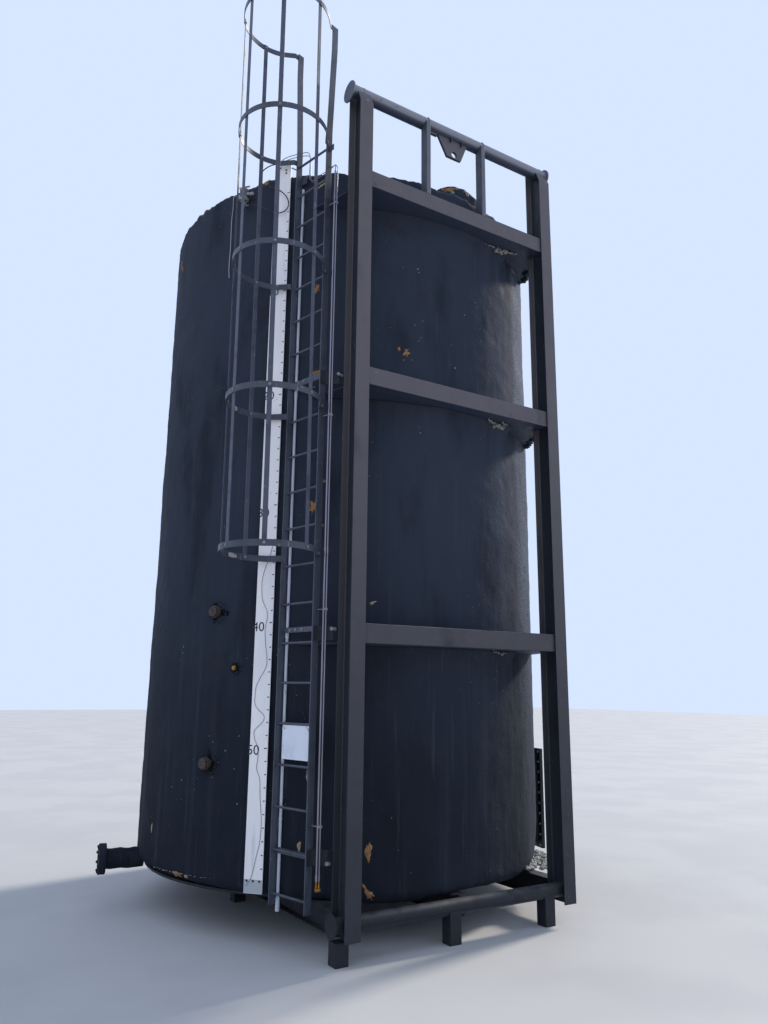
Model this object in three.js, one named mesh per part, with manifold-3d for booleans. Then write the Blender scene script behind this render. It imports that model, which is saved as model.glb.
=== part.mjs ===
import * as THREE from 'three';
import Module from 'manifold-3d';
import { mergeVertices } from 'three/addons/utils/BufferGeometryUtils.js';

const wasm = await Module();
wasm.setup();

// Foam-clad vertical storage tank on a steel skid frame.
// Millimetres, +Z up. The origin is on the tank's axis at ground level.
// The skid frame stands on the -Y side of the tank, the ladder on its -X side.

// Foam-clad shell
const FOAM_R = 1893;
const WALL_THICK = 65;
const WALL_Z0 = 325;
const WALL_Z1 = 6200;
const WALL_SEGMENTS = 8;
const ARC_STEPS_PER_SEGMENT = 9;
const GAP = 0.3;
const ROOF_EDGE_Z = 6445;
const ROOF_EDGE_ROUND = 55;
const ROOF_CENTRE_Z = 6600;
const ROOF_THICK = 65;
const FLOOR_THICK = 20;

// Skid rails, wide-flange sections with the flanges facing out
const RAIL_X = 1033;
const RAIL_DEPTH = 200;
const RAIL_WIDTH = 130;
const FLANGE = 10;
const WEB = 8;
const RAIL_FRONT_Y = -2058;
const RAIL_BACK_Y = RAIL_FRONT_Y + RAIL_DEPTH;
const RAIL_Z0 = 155;
const NOSE_FOLD_Z = 6846;
const NOSE_TOP_Z = 7018;
const NOSE_RUN = 70;

// Cross pipes through the rails
const PIPE_Y = -1958;
const TOP_PIPE_Z = 6981;
const BOTTOM_PIPE_Z = 256;
const PIPE_R = 57;
const PIPE_SIDES = 24;
const PIPE_LEFT = -1150;
const PIPE_RIGHT = 1100;
const DISC_THICK = 12;
const TOP_DISC_R = 100;
const BOTTOM_DISC_R = 83;

// Crossbars with saddle plates that reach back to the foam
const BAR_FRONT_Y = RAIL_FRONT_Y + 20;
const BAR_DEPTH = 75;
const BAR_HEIGHT = 150;
const BAR_CENTRES_Z = [6133, 4338, 2274];
const SADDLE_THICK = 12;
const SADDLE_ARC_DEG = 41;
const SADDLE_R = FOAM_R + 1;

// Head frame between the top crossbar and the top pipe
const POST_X = [-346, 300];
const POST_WIDTH = 52;
const POST_DEPTH = 76;
const PADEYE_X = -56;
const PADEYE_TOP_HALF = 188;
const PADEYE_FOOT_HALF = 84;
const PADEYE_Z0 = 6742;
const PADEYE_THICK = 25;
const PADEYE_HOLE_R = 30;
const PADEYE_HOLE_Z = 6780;

// Base beams and stub legs
const BEAM_XS = [-RAIL_X, 0, RAIL_X];
const BEAM_Z1 = WALL_Z0 - GAP;
const BEAM_WIDTH = 120;
const BEAM_BACK_Y = 1480;
const LEG = 105;
const FRONT_LEG_XS = [-1088, -110, 850];
const REAR_LEG_YS = [0, 1250];

// Ladder, given by its two rails in plan; the left rail is the one close to the foam
const LADDER_LEFT = [-1342, -1386];
const LADDER_RIGHT = [-1247, -1778];
const LADDER_Z0 = 300;
const LADDER_Z1 = 7695;
const LADDER_BAR = [63, 10];
const RUNG_Z0 = 380;
const RUNG_PITCH = 304.8;
const RUNG_COUNT = 21;
const RUNG_R = 10;
const LADDER_FLAT_ZS = [680, 2310, 4380];
const LADDER_FLAT_V = -20;
const FLARE_Z = [6650, 7450];
const FLARE = 38;

// Cage hoops; the whole cage leans a little away from the tank
const HOOP_ZS = [2886, 4093, 5285, 6512, 7662];
const HOOP_BAR = [50, 6];
const HOOP_V0 = 336;
const HOOP_R = 383;
const HOOP_STEPS = 25;
const HOOP_START_DEG = -35;
const CAGE_BAR_STEPS = [2, 7, 12, 17, 22];
const CAGE_BAR = [38, 6];
const CAGE_LEAN = 0.0085;

// Things on the wall
const BOARD_DEG = -48.6;
const BOARD_W = 152;
const BOARD_THICK = 8;
const BOARD_Z0 = 365;
const BOARD_Z1 = 6528;
const BOARD_R = 1935;
const CONDUIT = [-1300, -1397];
const CONDUIT_R = 12;
const CONDUIT_Z = [252, 6262];
const CONDUIT_SLEEVE_R = 16.5;
const CONDUIT_SLEEVE_Z = 348;
const TUBES = [[-1227, -1866], [-1206, -1866]];
const TUBE_R = 7;
const TUBE_Z = [530, 6205];

const colour = {
  foam: 0x262b33,
  roof: 0x2b2f36,
  steel: 0x4a4649,
  dark: 0x2c3138,
  cage: 0x454a5a,
  board: 0xc5cad6,
  conduit: 0xb9bec9,
  tube: 0x9a97a2,
  sign: 0xd6dae2,
  cap: 0x3a2d28,
  cable: 0x16181c,
  rope: 0x8d9096,
};

const group = new THREE.Group();
group.name = 'vertical_storage_tank';

function material(hex, roughness, metalness) {
  return new THREE.MeshStandardMaterial({ color: hex, roughness, metalness });
}

function node(name, geometry, hex, roughness = 0.6, metalness = 0.3) {
  const mesh = new THREE.Mesh(geometry, material(hex, roughness, metalness));
  mesh.name = name;
  group.add(mesh);
  return mesh;
}

function solid(geometry) {
  let g = geometry.clone();
  g.deleteAttribute('normal');
  g.deleteAttribute('uv');
  g = mergeVertices(g, 1e-4);
  const mesh = new wasm.Mesh({
    numProp: 3,
    vertProperties: new Float32Array(g.attributes.position.array),
    triVerts: new Uint32Array(g.index.array),
  });
  return new wasm.Manifold(mesh);
}

function geometryOf(body) {
  const m = body.getMesh();
  const g = new THREE.BufferGeometry();
  g.setAttribute('position', new THREE.BufferAttribute(new Float32Array(m.vertProperties), 3));
  g.setIndex(new THREE.BufferAttribute(new Uint32Array(m.triVerts), 1));
  const flat = g.toNonIndexed();
  flat.computeVertexNormals();
  return flat;
}

function fuse(list) {
  return list.reduce((a, b) => a.add(b));
}

function box(x0, x1, y0, y1, z0, z1) {
  const g = new THREE.BoxGeometry(x1 - x0, y1 - y0, z1 - z0);
  g.translate((x0 + x1) / 2, (y0 + y1) / 2, (z0 + z1) / 2);
  return g;
}

// A plate from a closed outline in plan, between two heights
function plate(points, z0, z1) {
  const shape = new THREE.Shape(points.map((p) => new THREE.Vector2(p[0], p[1])));
  const g = new THREE.ExtrudeGeometry(shape, { depth: z1 - z0, bevelEnabled: false });
  g.translate(0, 0, z0);
  return g;
}

// A plate from a closed outline in the YZ plane, between two X positions
function sidePlate(points, x0, x1) {
  const shape = new THREE.Shape(points.map((p) => new THREE.Vector2(p[0], p[1])));
  const g = new THREE.ExtrudeGeometry(shape, { depth: x1 - x0, bevelEnabled: false });
  const m = new THREE.Matrix4().set(0, 0, 1, x0, 1, 0, 0, 0, 0, 1, 0, 0, 0, 0, 0, 1);
  g.applyMatrix4(m);
  return g;
}

// A plate from a closed outline in the XZ plane, between two Y positions
function facePlate(points, y0, y1) {
  const shape = new THREE.Shape(points.map((p) => new THREE.Vector2(p[0], p[1])));
  const g = new THREE.ExtrudeGeometry(shape, { depth: y1 - y0, bevelEnabled: false });
  g.rotateX(Math.PI / 2);
  g.translate(0, y1, 0);
  return g;
}

function rod(r, a, b, sides = 8) {
  const from = new THREE.Vector3(...a);
  const to = new THREE.Vector3(...b);
  const g = new THREE.CylinderGeometry(r, r, from.distanceTo(to), sides);
  const up = new THREE.Vector3(0, 1, 0);
  g.applyQuaternion(new THREE.Quaternion().setFromUnitVectors(up, to.clone().sub(from).normalize()));
  g.translate((a[0] + b[0]) / 2, (a[1] + b[1]) / 2, (a[2] + b[2]) / 2);
  return g;
}

// A point on a circle about the tank's axis; 0 degrees is -Y, positive turns towards +X
function onCircle(r, deg) {
  const a = THREE.MathUtils.degToRad(deg);
  return [r * Math.sin(a), -r * Math.cos(a)];
}

// Ladder frame: u runs from its left rail to its right rail, v points away from the tank
const ladderMid = [(LADDER_LEFT[0] + LADDER_RIGHT[0]) / 2, (LADDER_LEFT[1] + LADDER_RIGHT[1]) / 2];
const ladderSpan = Math.hypot(LADDER_RIGHT[0] - LADDER_LEFT[0], LADDER_RIGHT[1] - LADDER_LEFT[1]);
const ladderU = [
  (LADDER_RIGHT[0] - LADDER_LEFT[0]) / ladderSpan,
  (LADDER_RIGHT[1] - LADDER_LEFT[1]) / ladderSpan,
];
const ladderV = [ladderU[1], -ladderU[0]];

function onLadder(u, v) {
  return [ladderMid[0] + u * ladderU[0] + v * ladderV[0], ladderMid[1] + u * ladderU[1] + v * ladderV[1]];
}

function ladderPlate(uv, z0, z1) {
  return plate(uv.map(([u, v]) => onLadder(u, v)), z0, z1);
}

function ladderRect(u0, u1, v0, v1, z0, z1) {
  return ladderPlate([[u0, v0], [u0, v1], [u1, v1], [u1, v0]], z0, z1);
}

// A band between two radii about the tank's axis
function band(r0, r1, deg0, deg1, z0, z1, steps) {
  const points = [];
  for (let i = 0; i <= steps; i += 1) {
    points.push(onCircle(r1, deg0 + ((deg1 - deg0) * i) / steps));
  }
  for (let i = steps; i >= 0; i -= 1) {
    points.push(onCircle(r0, deg0 + ((deg1 - deg0) * i) / steps));
  }
  return plate(points, z0, z1);
}

// Wall of the shell with its foam, in upright segments
const segmentDeg = 360 / WALL_SEGMENTS;
const seamDeg = THREE.MathUtils.radToDeg(GAP / FOAM_R) / 2;
for (let i = 0; i < WALL_SEGMENTS; i += 1) {
  const from = i * segmentDeg + seamDeg;
  const to = (i + 1) * segmentDeg - seamDeg;
  const g = band(FOAM_R - WALL_THICK, FOAM_R, from, to, WALL_Z0, WALL_Z1, ARC_STEPS_PER_SEGMENT);
  node(`wall_segment_${i + 1}`, g, colour.foam, 0.85, 0);
}

// Roof: a rounded shoulder and a shallow cone
const roofZ0 = WALL_Z1 + GAP;
const roofProfile = [[FOAM_R - WALL_THICK, roofZ0], [FOAM_R, roofZ0]];
const roundSteps = 5;
for (let i = 0; i <= roundSteps; i += 1) {
  const a = (Math.PI / 2) * (i / roundSteps);
  roofProfile.push([
    FOAM_R - ROOF_EDGE_ROUND * (1 - Math.cos(a)),
    ROOF_EDGE_Z - ROOF_EDGE_ROUND * (1 - Math.sin(a)),
  ]);
}
roofProfile.push([0, ROOF_CENTRE_Z]);
roofProfile.push([0, ROOF_CENTRE_Z - ROOF_THICK]);
roofProfile.push([FOAM_R - WALL_THICK, ROOF_EDGE_Z - ROOF_THICK]);
const wallSides = WALL_SEGMENTS * ARC_STEPS_PER_SEGMENT;
const roofPoints = roofProfile.concat([roofProfile[0]]).map((p) => new THREE.Vector2(p[0], p[1]));
const roofGeometry = new THREE.LatheGeometry(roofPoints, wallSides);
roofGeometry.rotateX(Math.PI / 2);
node('roof', geometryOf(solid(roofGeometry)), colour.roof, 0.85, 0);

// Floor
const floorGeometry = new THREE.CylinderGeometry(
  FOAM_R - WALL_THICK - 3, FOAM_R - WALL_THICK - 3, FLOOR_THICK, wallSides);
floorGeometry.rotateX(Math.PI / 2);
floorGeometry.translate(0, 0, WALL_Z0 + FLOOR_THICK / 2);
node('floor', floorGeometry, colour.dark, 0.7, 0.3);

// Hatch lump on the roof
const HATCH_X = 360;
const HATCH_Y = -1440;
const HATCH_R = 300;
const HATCH_TOP_Z = 6740;
const HATCH_FOOT_Z = 6400;
const hatchPoints = [
  [0, HATCH_FOOT_Z], [HATCH_R, HATCH_FOOT_Z], [HATCH_R, HATCH_TOP_Z - 120], [HATCH_R - 35, HATCH_TOP_Z - 55],
  [HATCH_R - 110, HATCH_TOP_Z - 14], [HATCH_R - 200, HATCH_TOP_Z], [0, HATCH_TOP_Z],
].map((p) => new THREE.Vector2(p[0], p[1]));
const hatchGeometry = new THREE.LatheGeometry(hatchPoints, 24);
hatchGeometry.rotateX(Math.PI / 2);
hatchGeometry.translate(HATCH_X, HATCH_Y, 0);
const raisedRoof = new THREE.CylinderGeometry(0.001, FOAM_R - ROOF_EDGE_ROUND, ROOF_CENTRE_Z - ROOF_EDGE_Z, wallSides);
raisedRoof.rotateX(Math.PI / 2);
raisedRoof.translate(0, 0, (ROOF_CENTRE_Z + ROOF_EDGE_Z) / 2 + GAP);
const underRoof = new THREE.CylinderGeometry(FOAM_R - ROOF_EDGE_ROUND, FOAM_R - ROOF_EDGE_ROUND, 200, wallSides);
underRoof.rotateX(Math.PI / 2);
underRoof.translate(0, 0, ROOF_EDGE_Z + GAP - 100 + 0.01);
const hatch = solid(hatchGeometry).subtract(solid(raisedRoof)).subtract(solid(underRoof));
node('roof_hatch', geometryOf(hatch), colour.roof, 0.85, 0);

// Skid rails
function rail(name, x) {
  const noseY = RAIL_FRONT_Y + NOSE_RUN;
  const drop = (FLANGE * (NOSE_TOP_Z - NOSE_FOLD_Z)) / NOSE_RUN;
  const front = sidePlate([
    [RAIL_FRONT_Y, RAIL_Z0], [RAIL_FRONT_Y + FLANGE, RAIL_Z0], [RAIL_FRONT_Y + FLANGE, NOSE_FOLD_Z],
    [noseY + FLANGE, NOSE_TOP_Z], [noseY, NOSE_TOP_Z], [RAIL_FRONT_Y, NOSE_FOLD_Z],
  ], x - RAIL_WIDTH / 2, x + RAIL_WIDTH / 2);
  const web = sidePlate([
    [RAIL_FRONT_Y + FLANGE / 2, RAIL_Z0], [RAIL_BACK_Y - FLANGE / 2, RAIL_Z0],
    [RAIL_BACK_Y - FLANGE / 2, NOSE_TOP_Z - drop], [noseY + FLANGE / 2, NOSE_TOP_Z - drop],
    [RAIL_FRONT_Y + FLANGE / 2, NOSE_FOLD_Z - 1],
  ], x - WEB / 2, x + WEB / 2);
  const back = box(x - RAIL_WIDTH / 2, x + RAIL_WIDTH / 2, RAIL_BACK_Y - FLANGE, RAIL_BACK_Y,
    RAIL_Z0, NOSE_TOP_Z - 20);
  let body = fuse([solid(front), solid(web), solid(back)]);
  for (const z of [TOP_PIPE_Z, BOTTOM_PIPE_Z]) {
    const hole = rod(PIPE_R + GAP + 0.4, [x - RAIL_WIDTH, PIPE_Y, z], [x + RAIL_WIDTH, PIPE_Y, z], PIPE_SIDES);
    body = body.subtract(solid(hole));
  }
  node(name, geometryOf(body), colour.steel, 0.55, 0.4);
}
rail('skid_rail_left', -RAIL_X);
rail('skid_rail_right', RAIL_X);

// Cross pipes with end discs
function crossPipe(z, discR) {
  const pipe = rod(PIPE_R, [PIPE_LEFT, PIPE_Y, z], [PIPE_RIGHT, PIPE_Y, z], PIPE_SIDES);
  const left = rod(discR, [PIPE_LEFT - DISC_THICK, PIPE_Y, z], [PIPE_LEFT + 1, PIPE_Y, z], 32);
  const right = rod(discR, [PIPE_RIGHT - 1, PIPE_Y, z], [PIPE_RIGHT + DISC_THICK, PIPE_Y, z], 32);
  return fuse([solid(pipe), solid(left), solid(right)]);
}
const padeyeOutline = [
  [PADEYE_X - PADEYE_TOP_HALF, TOP_PIPE_Z], [PADEYE_X - PADEYE_FOOT_HALF, PADEYE_Z0],
  [PADEYE_X + PADEYE_FOOT_HALF, PADEYE_Z0], [PADEYE_X + PADEYE_TOP_HALF, TOP_PIPE_Z],
];
const padeye = solid(facePlate(padeyeOutline, PIPE_Y - PADEYE_THICK / 2, PIPE_Y + PADEYE_THICK / 2));
const padeyeHole = rod(PADEYE_HOLE_R, [PADEYE_X + 30, PIPE_Y - 60, PADEYE_HOLE_Z],
  [PADEYE_X + 30, PIPE_Y + 60, PADEYE_HOLE_Z], 16);
const topPipe = crossPipe(TOP_PIPE_Z, TOP_DISC_R).add(padeye).subtract(solid(padeyeHole));
node('top_pipe_with_padeye', geometryOf(topPipe), colour.steel, 0.5, 0.4);
node('bottom_pipe', geometryOf(crossPipe(BOTTOM_PIPE_Z, BOTTOM_DISC_R)), colour.steel, 0.5, 0.4);

// Crossbars, each with its saddle plate
const barEnd = RAIL_X - WEB / 2 - GAP;
const barNames = ['crossbar_top', 'crossbar_middle', 'crossbar_low'];
BAR_CENTRES_Z.forEach((z, i) => {
  const bar = box(-barEnd, barEnd, BAR_FRONT_Y, BAR_FRONT_Y + BAR_DEPTH, z - BAR_HEIGHT / 2, z + BAR_HEIGHT / 2);
  const inner = RAIL_X - RAIL_WIDTH / 2 - GAP;
  const outer = RAIL_X + RAIL_WIDTH / 2 + 20;
  const behind = RAIL_BACK_Y + GAP;
  const points = [[-inner, BAR_FRONT_Y + BAR_DEPTH - 5], [inner, BAR_FRONT_Y + BAR_DEPTH - 5], [inner, behind],
    [RAIL_X + 60, behind], [outer, behind + 100]];
  const steps = 24;
  for (let k = 0; k <= steps; k += 1) {
    points.push(onCircle(SADDLE_R, SADDLE_ARC_DEG - (2 * SADDLE_ARC_DEG * k) / steps));
  }
  points.push([-outer, behind + 100], [-RAIL_X - 60, behind], [-inner, behind]);
  const saddle = plate(points, z - BAR_HEIGHT / 2 - 1, z - BAR_HEIGHT / 2 - 1 + SADDLE_THICK);
  node(barNames[i], geometryOf(solid(bar).add(solid(saddle))), colour.steel, 0.55, 0.4);
});

// Head posts
const postZ0 = BAR_CENTRES_Z[0] + BAR_HEIGHT / 2 + GAP;
const postCut = rod(PIPE_R + GAP + 0.4, [-600, PIPE_Y, TOP_PIPE_Z], [600, PIPE_Y, TOP_PIPE_Z], PIPE_SIDES);
POST_X.forEach((x, i) => {
  const g = box(x - POST_WIDTH / 2, x + POST_WIDTH / 2, BAR_FRONT_Y + 2, BAR_FRONT_Y + 2 + POST_DEPTH,
    postZ0, TOP_PIPE_Z);
  const whole = solid(g).subtract(solid(postCut));
  const low = whole.trimByPlane([0, 0, -1], -TOP_PIPE_Z + 1);
  node(i === 0 ? 'head_post_left' : 'head_post_right', geometryOf(low), colour.dark, 0.55, 0.4);
});

// Base beams under the floor, with their rear stub legs
const beamNames = ['base_beam_left', 'base_beam_middle', 'base_beam_right'];
BEAM_XS.forEach((x, i) => {
  const y0 = i === 1 ? PIPE_Y + PIPE_R + GAP + 1 : RAIL_BACK_Y + GAP;
  const half = BEAM_WIDTH / 2;
  const parts = [
    box(x - half, x + half, y0, BEAM_BACK_Y, RAIL_Z0, RAIL_Z0 + FLANGE),
    box(x - half, x + half, y0, BEAM_BACK_Y, BEAM_Z1 - FLANGE, BEAM_Z1),
    box(x - WEB / 2, x + WEB / 2, y0, BEAM_BACK_Y, RAIL_Z0 + 1, BEAM_Z1 - 1),
  ];
  for (const y of REAR_LEG_YS) {
    parts.push(box(x - LEG / 2, x + LEG / 2, y - LEG / 2, y + LEG / 2, 0, RAIL_Z0 + 1));
  }
  node(beamNames[i], geometryOf(fuse(parts.map(solid))), colour.dark, 0.6, 0.4);
});

// Front stub legs: the left one under the rail, the others under the bottom pipe
const legNames = ['stub_leg_left', 'stub_leg_middle', 'stub_leg_right'];
const legCut = rod(PIPE_R + GAP + 0.4, [-1500, PIPE_Y, BOTTOM_PIPE_Z], [1500, PIPE_Y, BOTTOM_PIPE_Z], PIPE_SIDES);
FRONT_LEG_XS.forEach((x, i) => {
  const top = i === 0 ? RAIL_Z0 - GAP : BOTTOM_PIPE_Z;
  const g = box(x - LEG / 2, x + LEG / 2, PIPE_Y - LEG / 2, PIPE_Y + LEG / 2, 0, top);
  let body = solid(g);
  if (i > 0) {
    body = body.subtract(solid(legCut)).trimByPlane([0, 0, -1], -BOTTOM_PIPE_Z + 1);
  }
  node(legNames[i], geometryOf(body), colour.dark, 0.6, 0.4);
});

// Ladder: two flat-bar rails that spread a little above the roof, and rungs
const halfSpan = ladderSpan / 2;
function ladderRail(side) {
  const half = LADDER_BAR[1] / 2;
  const foot = side * halfSpan;
  const head = side * (halfSpan + FLARE);
  const outline = [
    [foot - half, LADDER_Z0], [foot + half, LADDER_Z0], [foot + half, FLARE_Z[0]], [head + half, FLARE_Z[1]],
    [head + half, LADDER_Z1], [head - half, LADDER_Z1], [head - half, FLARE_Z[1]], [foot - half, FLARE_Z[0]],
  ];
  const shape = new THREE.Shape(outline.map((p) => new THREE.Vector2(p[0], p[1])));
  const g = new THREE.ExtrudeGeometry(shape, { depth: LADDER_BAR[0], bevelEnabled: false });
  g.translate(0, 0, -LADDER_BAR[0] / 2);
  const stand = new THREE.Matrix4().makeBasis(
    new THREE.Vector3(ladderU[0], ladderU[1], 0), new THREE.Vector3(0, 0, 1),
    new THREE.Vector3(ladderV[0], ladderV[1], 0));
  stand.setPosition(ladderMid[0], ladderMid[1], 0);
  g.applyMatrix4(stand);
  return solid(g);
}
const ladderParts = [ladderRail(-1), ladderRail(1)];
for (let i = 0; i < RUNG_COUNT; i += 1) {
  const z = RUNG_Z0 + i * RUNG_PITCH;
  ladderParts.push(solid(rod(RUNG_R, [...onLadder(-halfSpan, 0), z], [...onLadder(halfSpan, 0), z], 8)));
}
for (const z of LADDER_FLAT_ZS) {
  const v0 = LADDER_FLAT_V;
  const flat = ladderRect(-halfSpan, halfSpan, v0, v0 + 8, z - 20, z + 20);
  ladderParts.push(solid(flat));
}
node('ladder', geometryOf(fuse(ladderParts)), colour.cage, 0.5, 0.4);

// The cage's lean, as a shear about the middle hoop's height
const cageLean = new THREE.Matrix4().set(
  1, 0, CAGE_LEAN * ladderV[0], -CAGE_LEAN * ladderV[0] * HOOP_ZS[2],
  0, 1, CAGE_LEAN * ladderV[1], -CAGE_LEAN * ladderV[1] * HOOP_ZS[2],
  0, 0, 1, 0,
  0, 0, 0, 1);

// Cage hoops: flat bars bent from the rails round the climbing space
const railOuter = halfSpan + LADDER_BAR[1] / 2 + GAP;
function hoopAngle(step) {
  const sweep = 180 - 2 * HOOP_START_DEG;
  return THREE.MathUtils.degToRad(HOOP_START_DEG + (sweep * step) / HOOP_STEPS);
}
HOOP_ZS.forEach((z, i) => {
  const spread = i === HOOP_ZS.length - 1 ? FLARE : 0;
  const outer = [];
  const inner = [];
  for (let k = 0; k <= HOOP_STEPS; k += 1) {
    const a = hoopAngle(k);
    outer.push([HOOP_R * Math.cos(a), HOOP_V0 + HOOP_R * Math.sin(a)]);
    inner.push([(HOOP_R - HOOP_BAR[1]) * Math.cos(a), HOOP_V0 + (HOOP_R - HOOP_BAR[1]) * Math.sin(a)]);
  }
  const foot = railOuter + spread;
  const t = HOOP_BAR[1];
  const out = [[foot + t, 0], [foot + t, 40]].concat(outer, [[-foot - t, 40], [-foot - t, 0]]);
  const inn = [[foot, 0], [foot, 42]].concat(inner, [[-foot, 42], [-foot, 0]]);
  const uv = out.concat(inn.reverse());
  const g = ladderPlate(uv, z - HOOP_BAR[0] / 2, z + HOOP_BAR[0] / 2);
  g.applyMatrix4(cageLean);
  node(`cage_hoop_${i + 1}`, g, colour.cage, 0.5, 0.4);
});

// Upright cage bars, each flat against the middle of one straight piece of the hoops
CAGE_BAR_STEPS.forEach((step, i) => {
  const a = hoopAngle(step + 0.5);
  const r1 = (HOOP_R - HOOP_BAR[1]) * Math.cos((hoopAngle(1) - hoopAngle(0)) / 2) - GAP;
  const r0 = r1 - CAGE_BAR[1];
  const n = [Math.cos(a), Math.sin(a)];
  const s = [-Math.sin(a), Math.cos(a)];
  const h = CAGE_BAR[0] / 2;
  const at = (r, k) => [r * n[0] + k * s[0], HOOP_V0 + r * n[1] + k * s[1]];
  const g = ladderPlate([at(r0, -h), at(r1, -h), at(r1, h), at(r0, h)],
    HOOP_ZS[0] - HOOP_BAR[0] / 2, HOOP_ZS[4] + HOOP_BAR[0] / 2);
  g.applyMatrix4(cageLean);
  node(`cage_bar_${i + 1}`, g, colour.cage, 0.5, 0.4);
});

// Brackets: bars bent to lie on the ladder's right rail and on the back of the left skid rail
const BRACKET_ZS = [680, 2275, 4340];
const BRACKET_THICK = 10;
const BRACKET_HALF = 55;
const BRACKET_BEND_X = -1135;
const bracketY = RAIL_BACK_Y + GAP;
BRACKET_ZS.forEach((z, i) => {
  const bendShift = BRACKET_THICK * 0.4;
  const outline = [
    onLadder(railOuter, 28), onLadder(railOuter, -33), [BRACKET_BEND_X + bendShift, bracketY + BRACKET_THICK],
    [-RAIL_X + 45, bracketY + BRACKET_THICK], [-RAIL_X + 45, bracketY], [BRACKET_BEND_X - bendShift, bracketY],
    onLadder(railOuter + BRACKET_THICK, -28), onLadder(railOuter + BRACKET_THICK, 28),
  ];
  const g = plate(outline, z - BRACKET_HALF, z + BRACKET_HALF);
  node(`ladder_bracket_${i + 1}`, g, colour.dark, 0.6, 0.4);
});

// Everything inside the wall's faceted outside, with the usual gap
const inWallZ = ROOF_EDGE_Z - ROOF_EDGE_ROUND;
const inWallGeometry = new THREE.CylinderGeometry(FOAM_R + GAP + 0.1, FOAM_R + GAP + 0.1, inWallZ, wallSides);
inWallGeometry.rotateX(Math.PI / 2);
inWallGeometry.translate(0, 0, inWallZ / 2);
const inWall = solid(inWallGeometry);

// Gauge board with standoffs that reach the foam
const boardMid = onCircle(BOARD_R, BOARD_DEG);
const boardNormal = onCircle(1, BOARD_DEG);
const boardSide = [-boardNormal[1], boardNormal[0]];
function boardPlate(s0, s1, r0, r1, z0, z1) {
  const at = (s, r) => [
    boardMid[0] + s * boardSide[0] + (r - BOARD_R) * boardNormal[0],
    boardMid[1] + s * boardSide[1] + (r - BOARD_R) * boardNormal[1],
  ];
  return plate([at(s0, r0), at(s0, r1), at(s1, r1), at(s1, r0)], z0, z1);
}
const boardParts = [boardPlate(-BOARD_W / 2, BOARD_W / 2, BOARD_R - BOARD_THICK, BOARD_R, BOARD_Z0, BOARD_Z1)];
for (const z of [600, 2000, 3400, 4800, 6150]) {
  boardParts.push(boardPlate(-20, 20, FOAM_R - 20, BOARD_R - BOARD_THICK + 1, z - 20, z + 20));
}
node('gauge_board', geometryOf(fuse(boardParts.map(solid)).subtract(inWall)), colour.board, 0.5, 0.1);

// Conduit behind the rungs, with a wider end and clips to the foam
const conduitParts = [
  rod(CONDUIT_R, [...CONDUIT, CONDUIT_SLEEVE_Z - 1], [...CONDUIT, CONDUIT_Z[1]], 12),
  rod(CONDUIT_SLEEVE_R, [...CONDUIT, CONDUIT_Z[0]], [...CONDUIT, CONDUIT_SLEEVE_Z], 12),
];
const conduitDeg = THREE.MathUtils.radToDeg(Math.atan2(CONDUIT[0], -CONDUIT[1]));
for (const z of [900, 2700, 4500, 6100]) {
  conduitParts.push(rod(5, [...onCircle(FOAM_R - 20, conduitDeg), z], [...CONDUIT, z], 8));
}
node('conduit', geometryOf(fuse(conduitParts.map(solid)).subtract(inWall)), colour.conduit, 0.5, 0.1);

// Twin steel tubes clipped to the ladder's right rail
const tubeParts = [];
const tubeV = (TUBES[0][0] - ladderMid[0]) * ladderV[0] + (TUBES[0][1] - ladderMid[1]) * ladderV[1];
for (const p of TUBES) {
  tubeParts.push(rod(TUBE_R, [...p, TUBE_Z[0]], [...p, TUBE_Z[1]], 10));
}
for (const z of [900, 2450, 4000, 5900]) {
  tubeParts.push(rod(4, [...TUBES[0], z], [...TUBES[1], z], 8));
  tubeParts.push(rod(5, [...onLadder(railOuter, tubeV), z], [...TUBES[0], z], 8));
}
node('twin_tubes', geometryOf(fuse(tubeParts.map(solid))), colour.tube, 0.35, 0.8);

// Plain sign plate hung close under a rung
const SIGN_U = [-146, 186];
const SIGN_RUNG = 4;
const SIGN_HEIGHT = 251;
const signTop = RUNG_Z0 + SIGN_RUNG * RUNG_PITCH - RUNG_R - 0.2;
const sign = ladderRect(SIGN_U[0], SIGN_U[1], -1.5, 1.5, signTop - SIGN_HEIGHT, signTop);
node('sign_plate', sign, colour.sign, 0.5, 0.1);

// Capped nozzles through the foam: a short stub and its cap, square to the wall
function nozzle(name, deg, z, r, length, capR, capLength, hex) {
  const at = (d) => [...onCircle(FOAM_R + d, deg), z];
  const body = fuse([
    solid(rod(r, at(-30), at(length), 20)),
    solid(rod(capR, at(length - 1), at(length + capLength), 12)),
  ]).subtract(inWall);
  node(name, geometryOf(body), hex, 0.6, 0.4);
}
nozzle('capped_nozzle_upper', -62.9, 2476, 36, 30, 50, 40, colour.cap);
nozzle('capped_nozzle_lower', -63.5, 1273, 36, 30, 50, 40, colour.cap);
nozzle('small_fitting', -56.4, 2018, 14, 20, 20, 22, colour.cap);
nozzle('flanged_nozzle', -100, 392, 85, 270, 130, 60, colour.foam);

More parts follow.
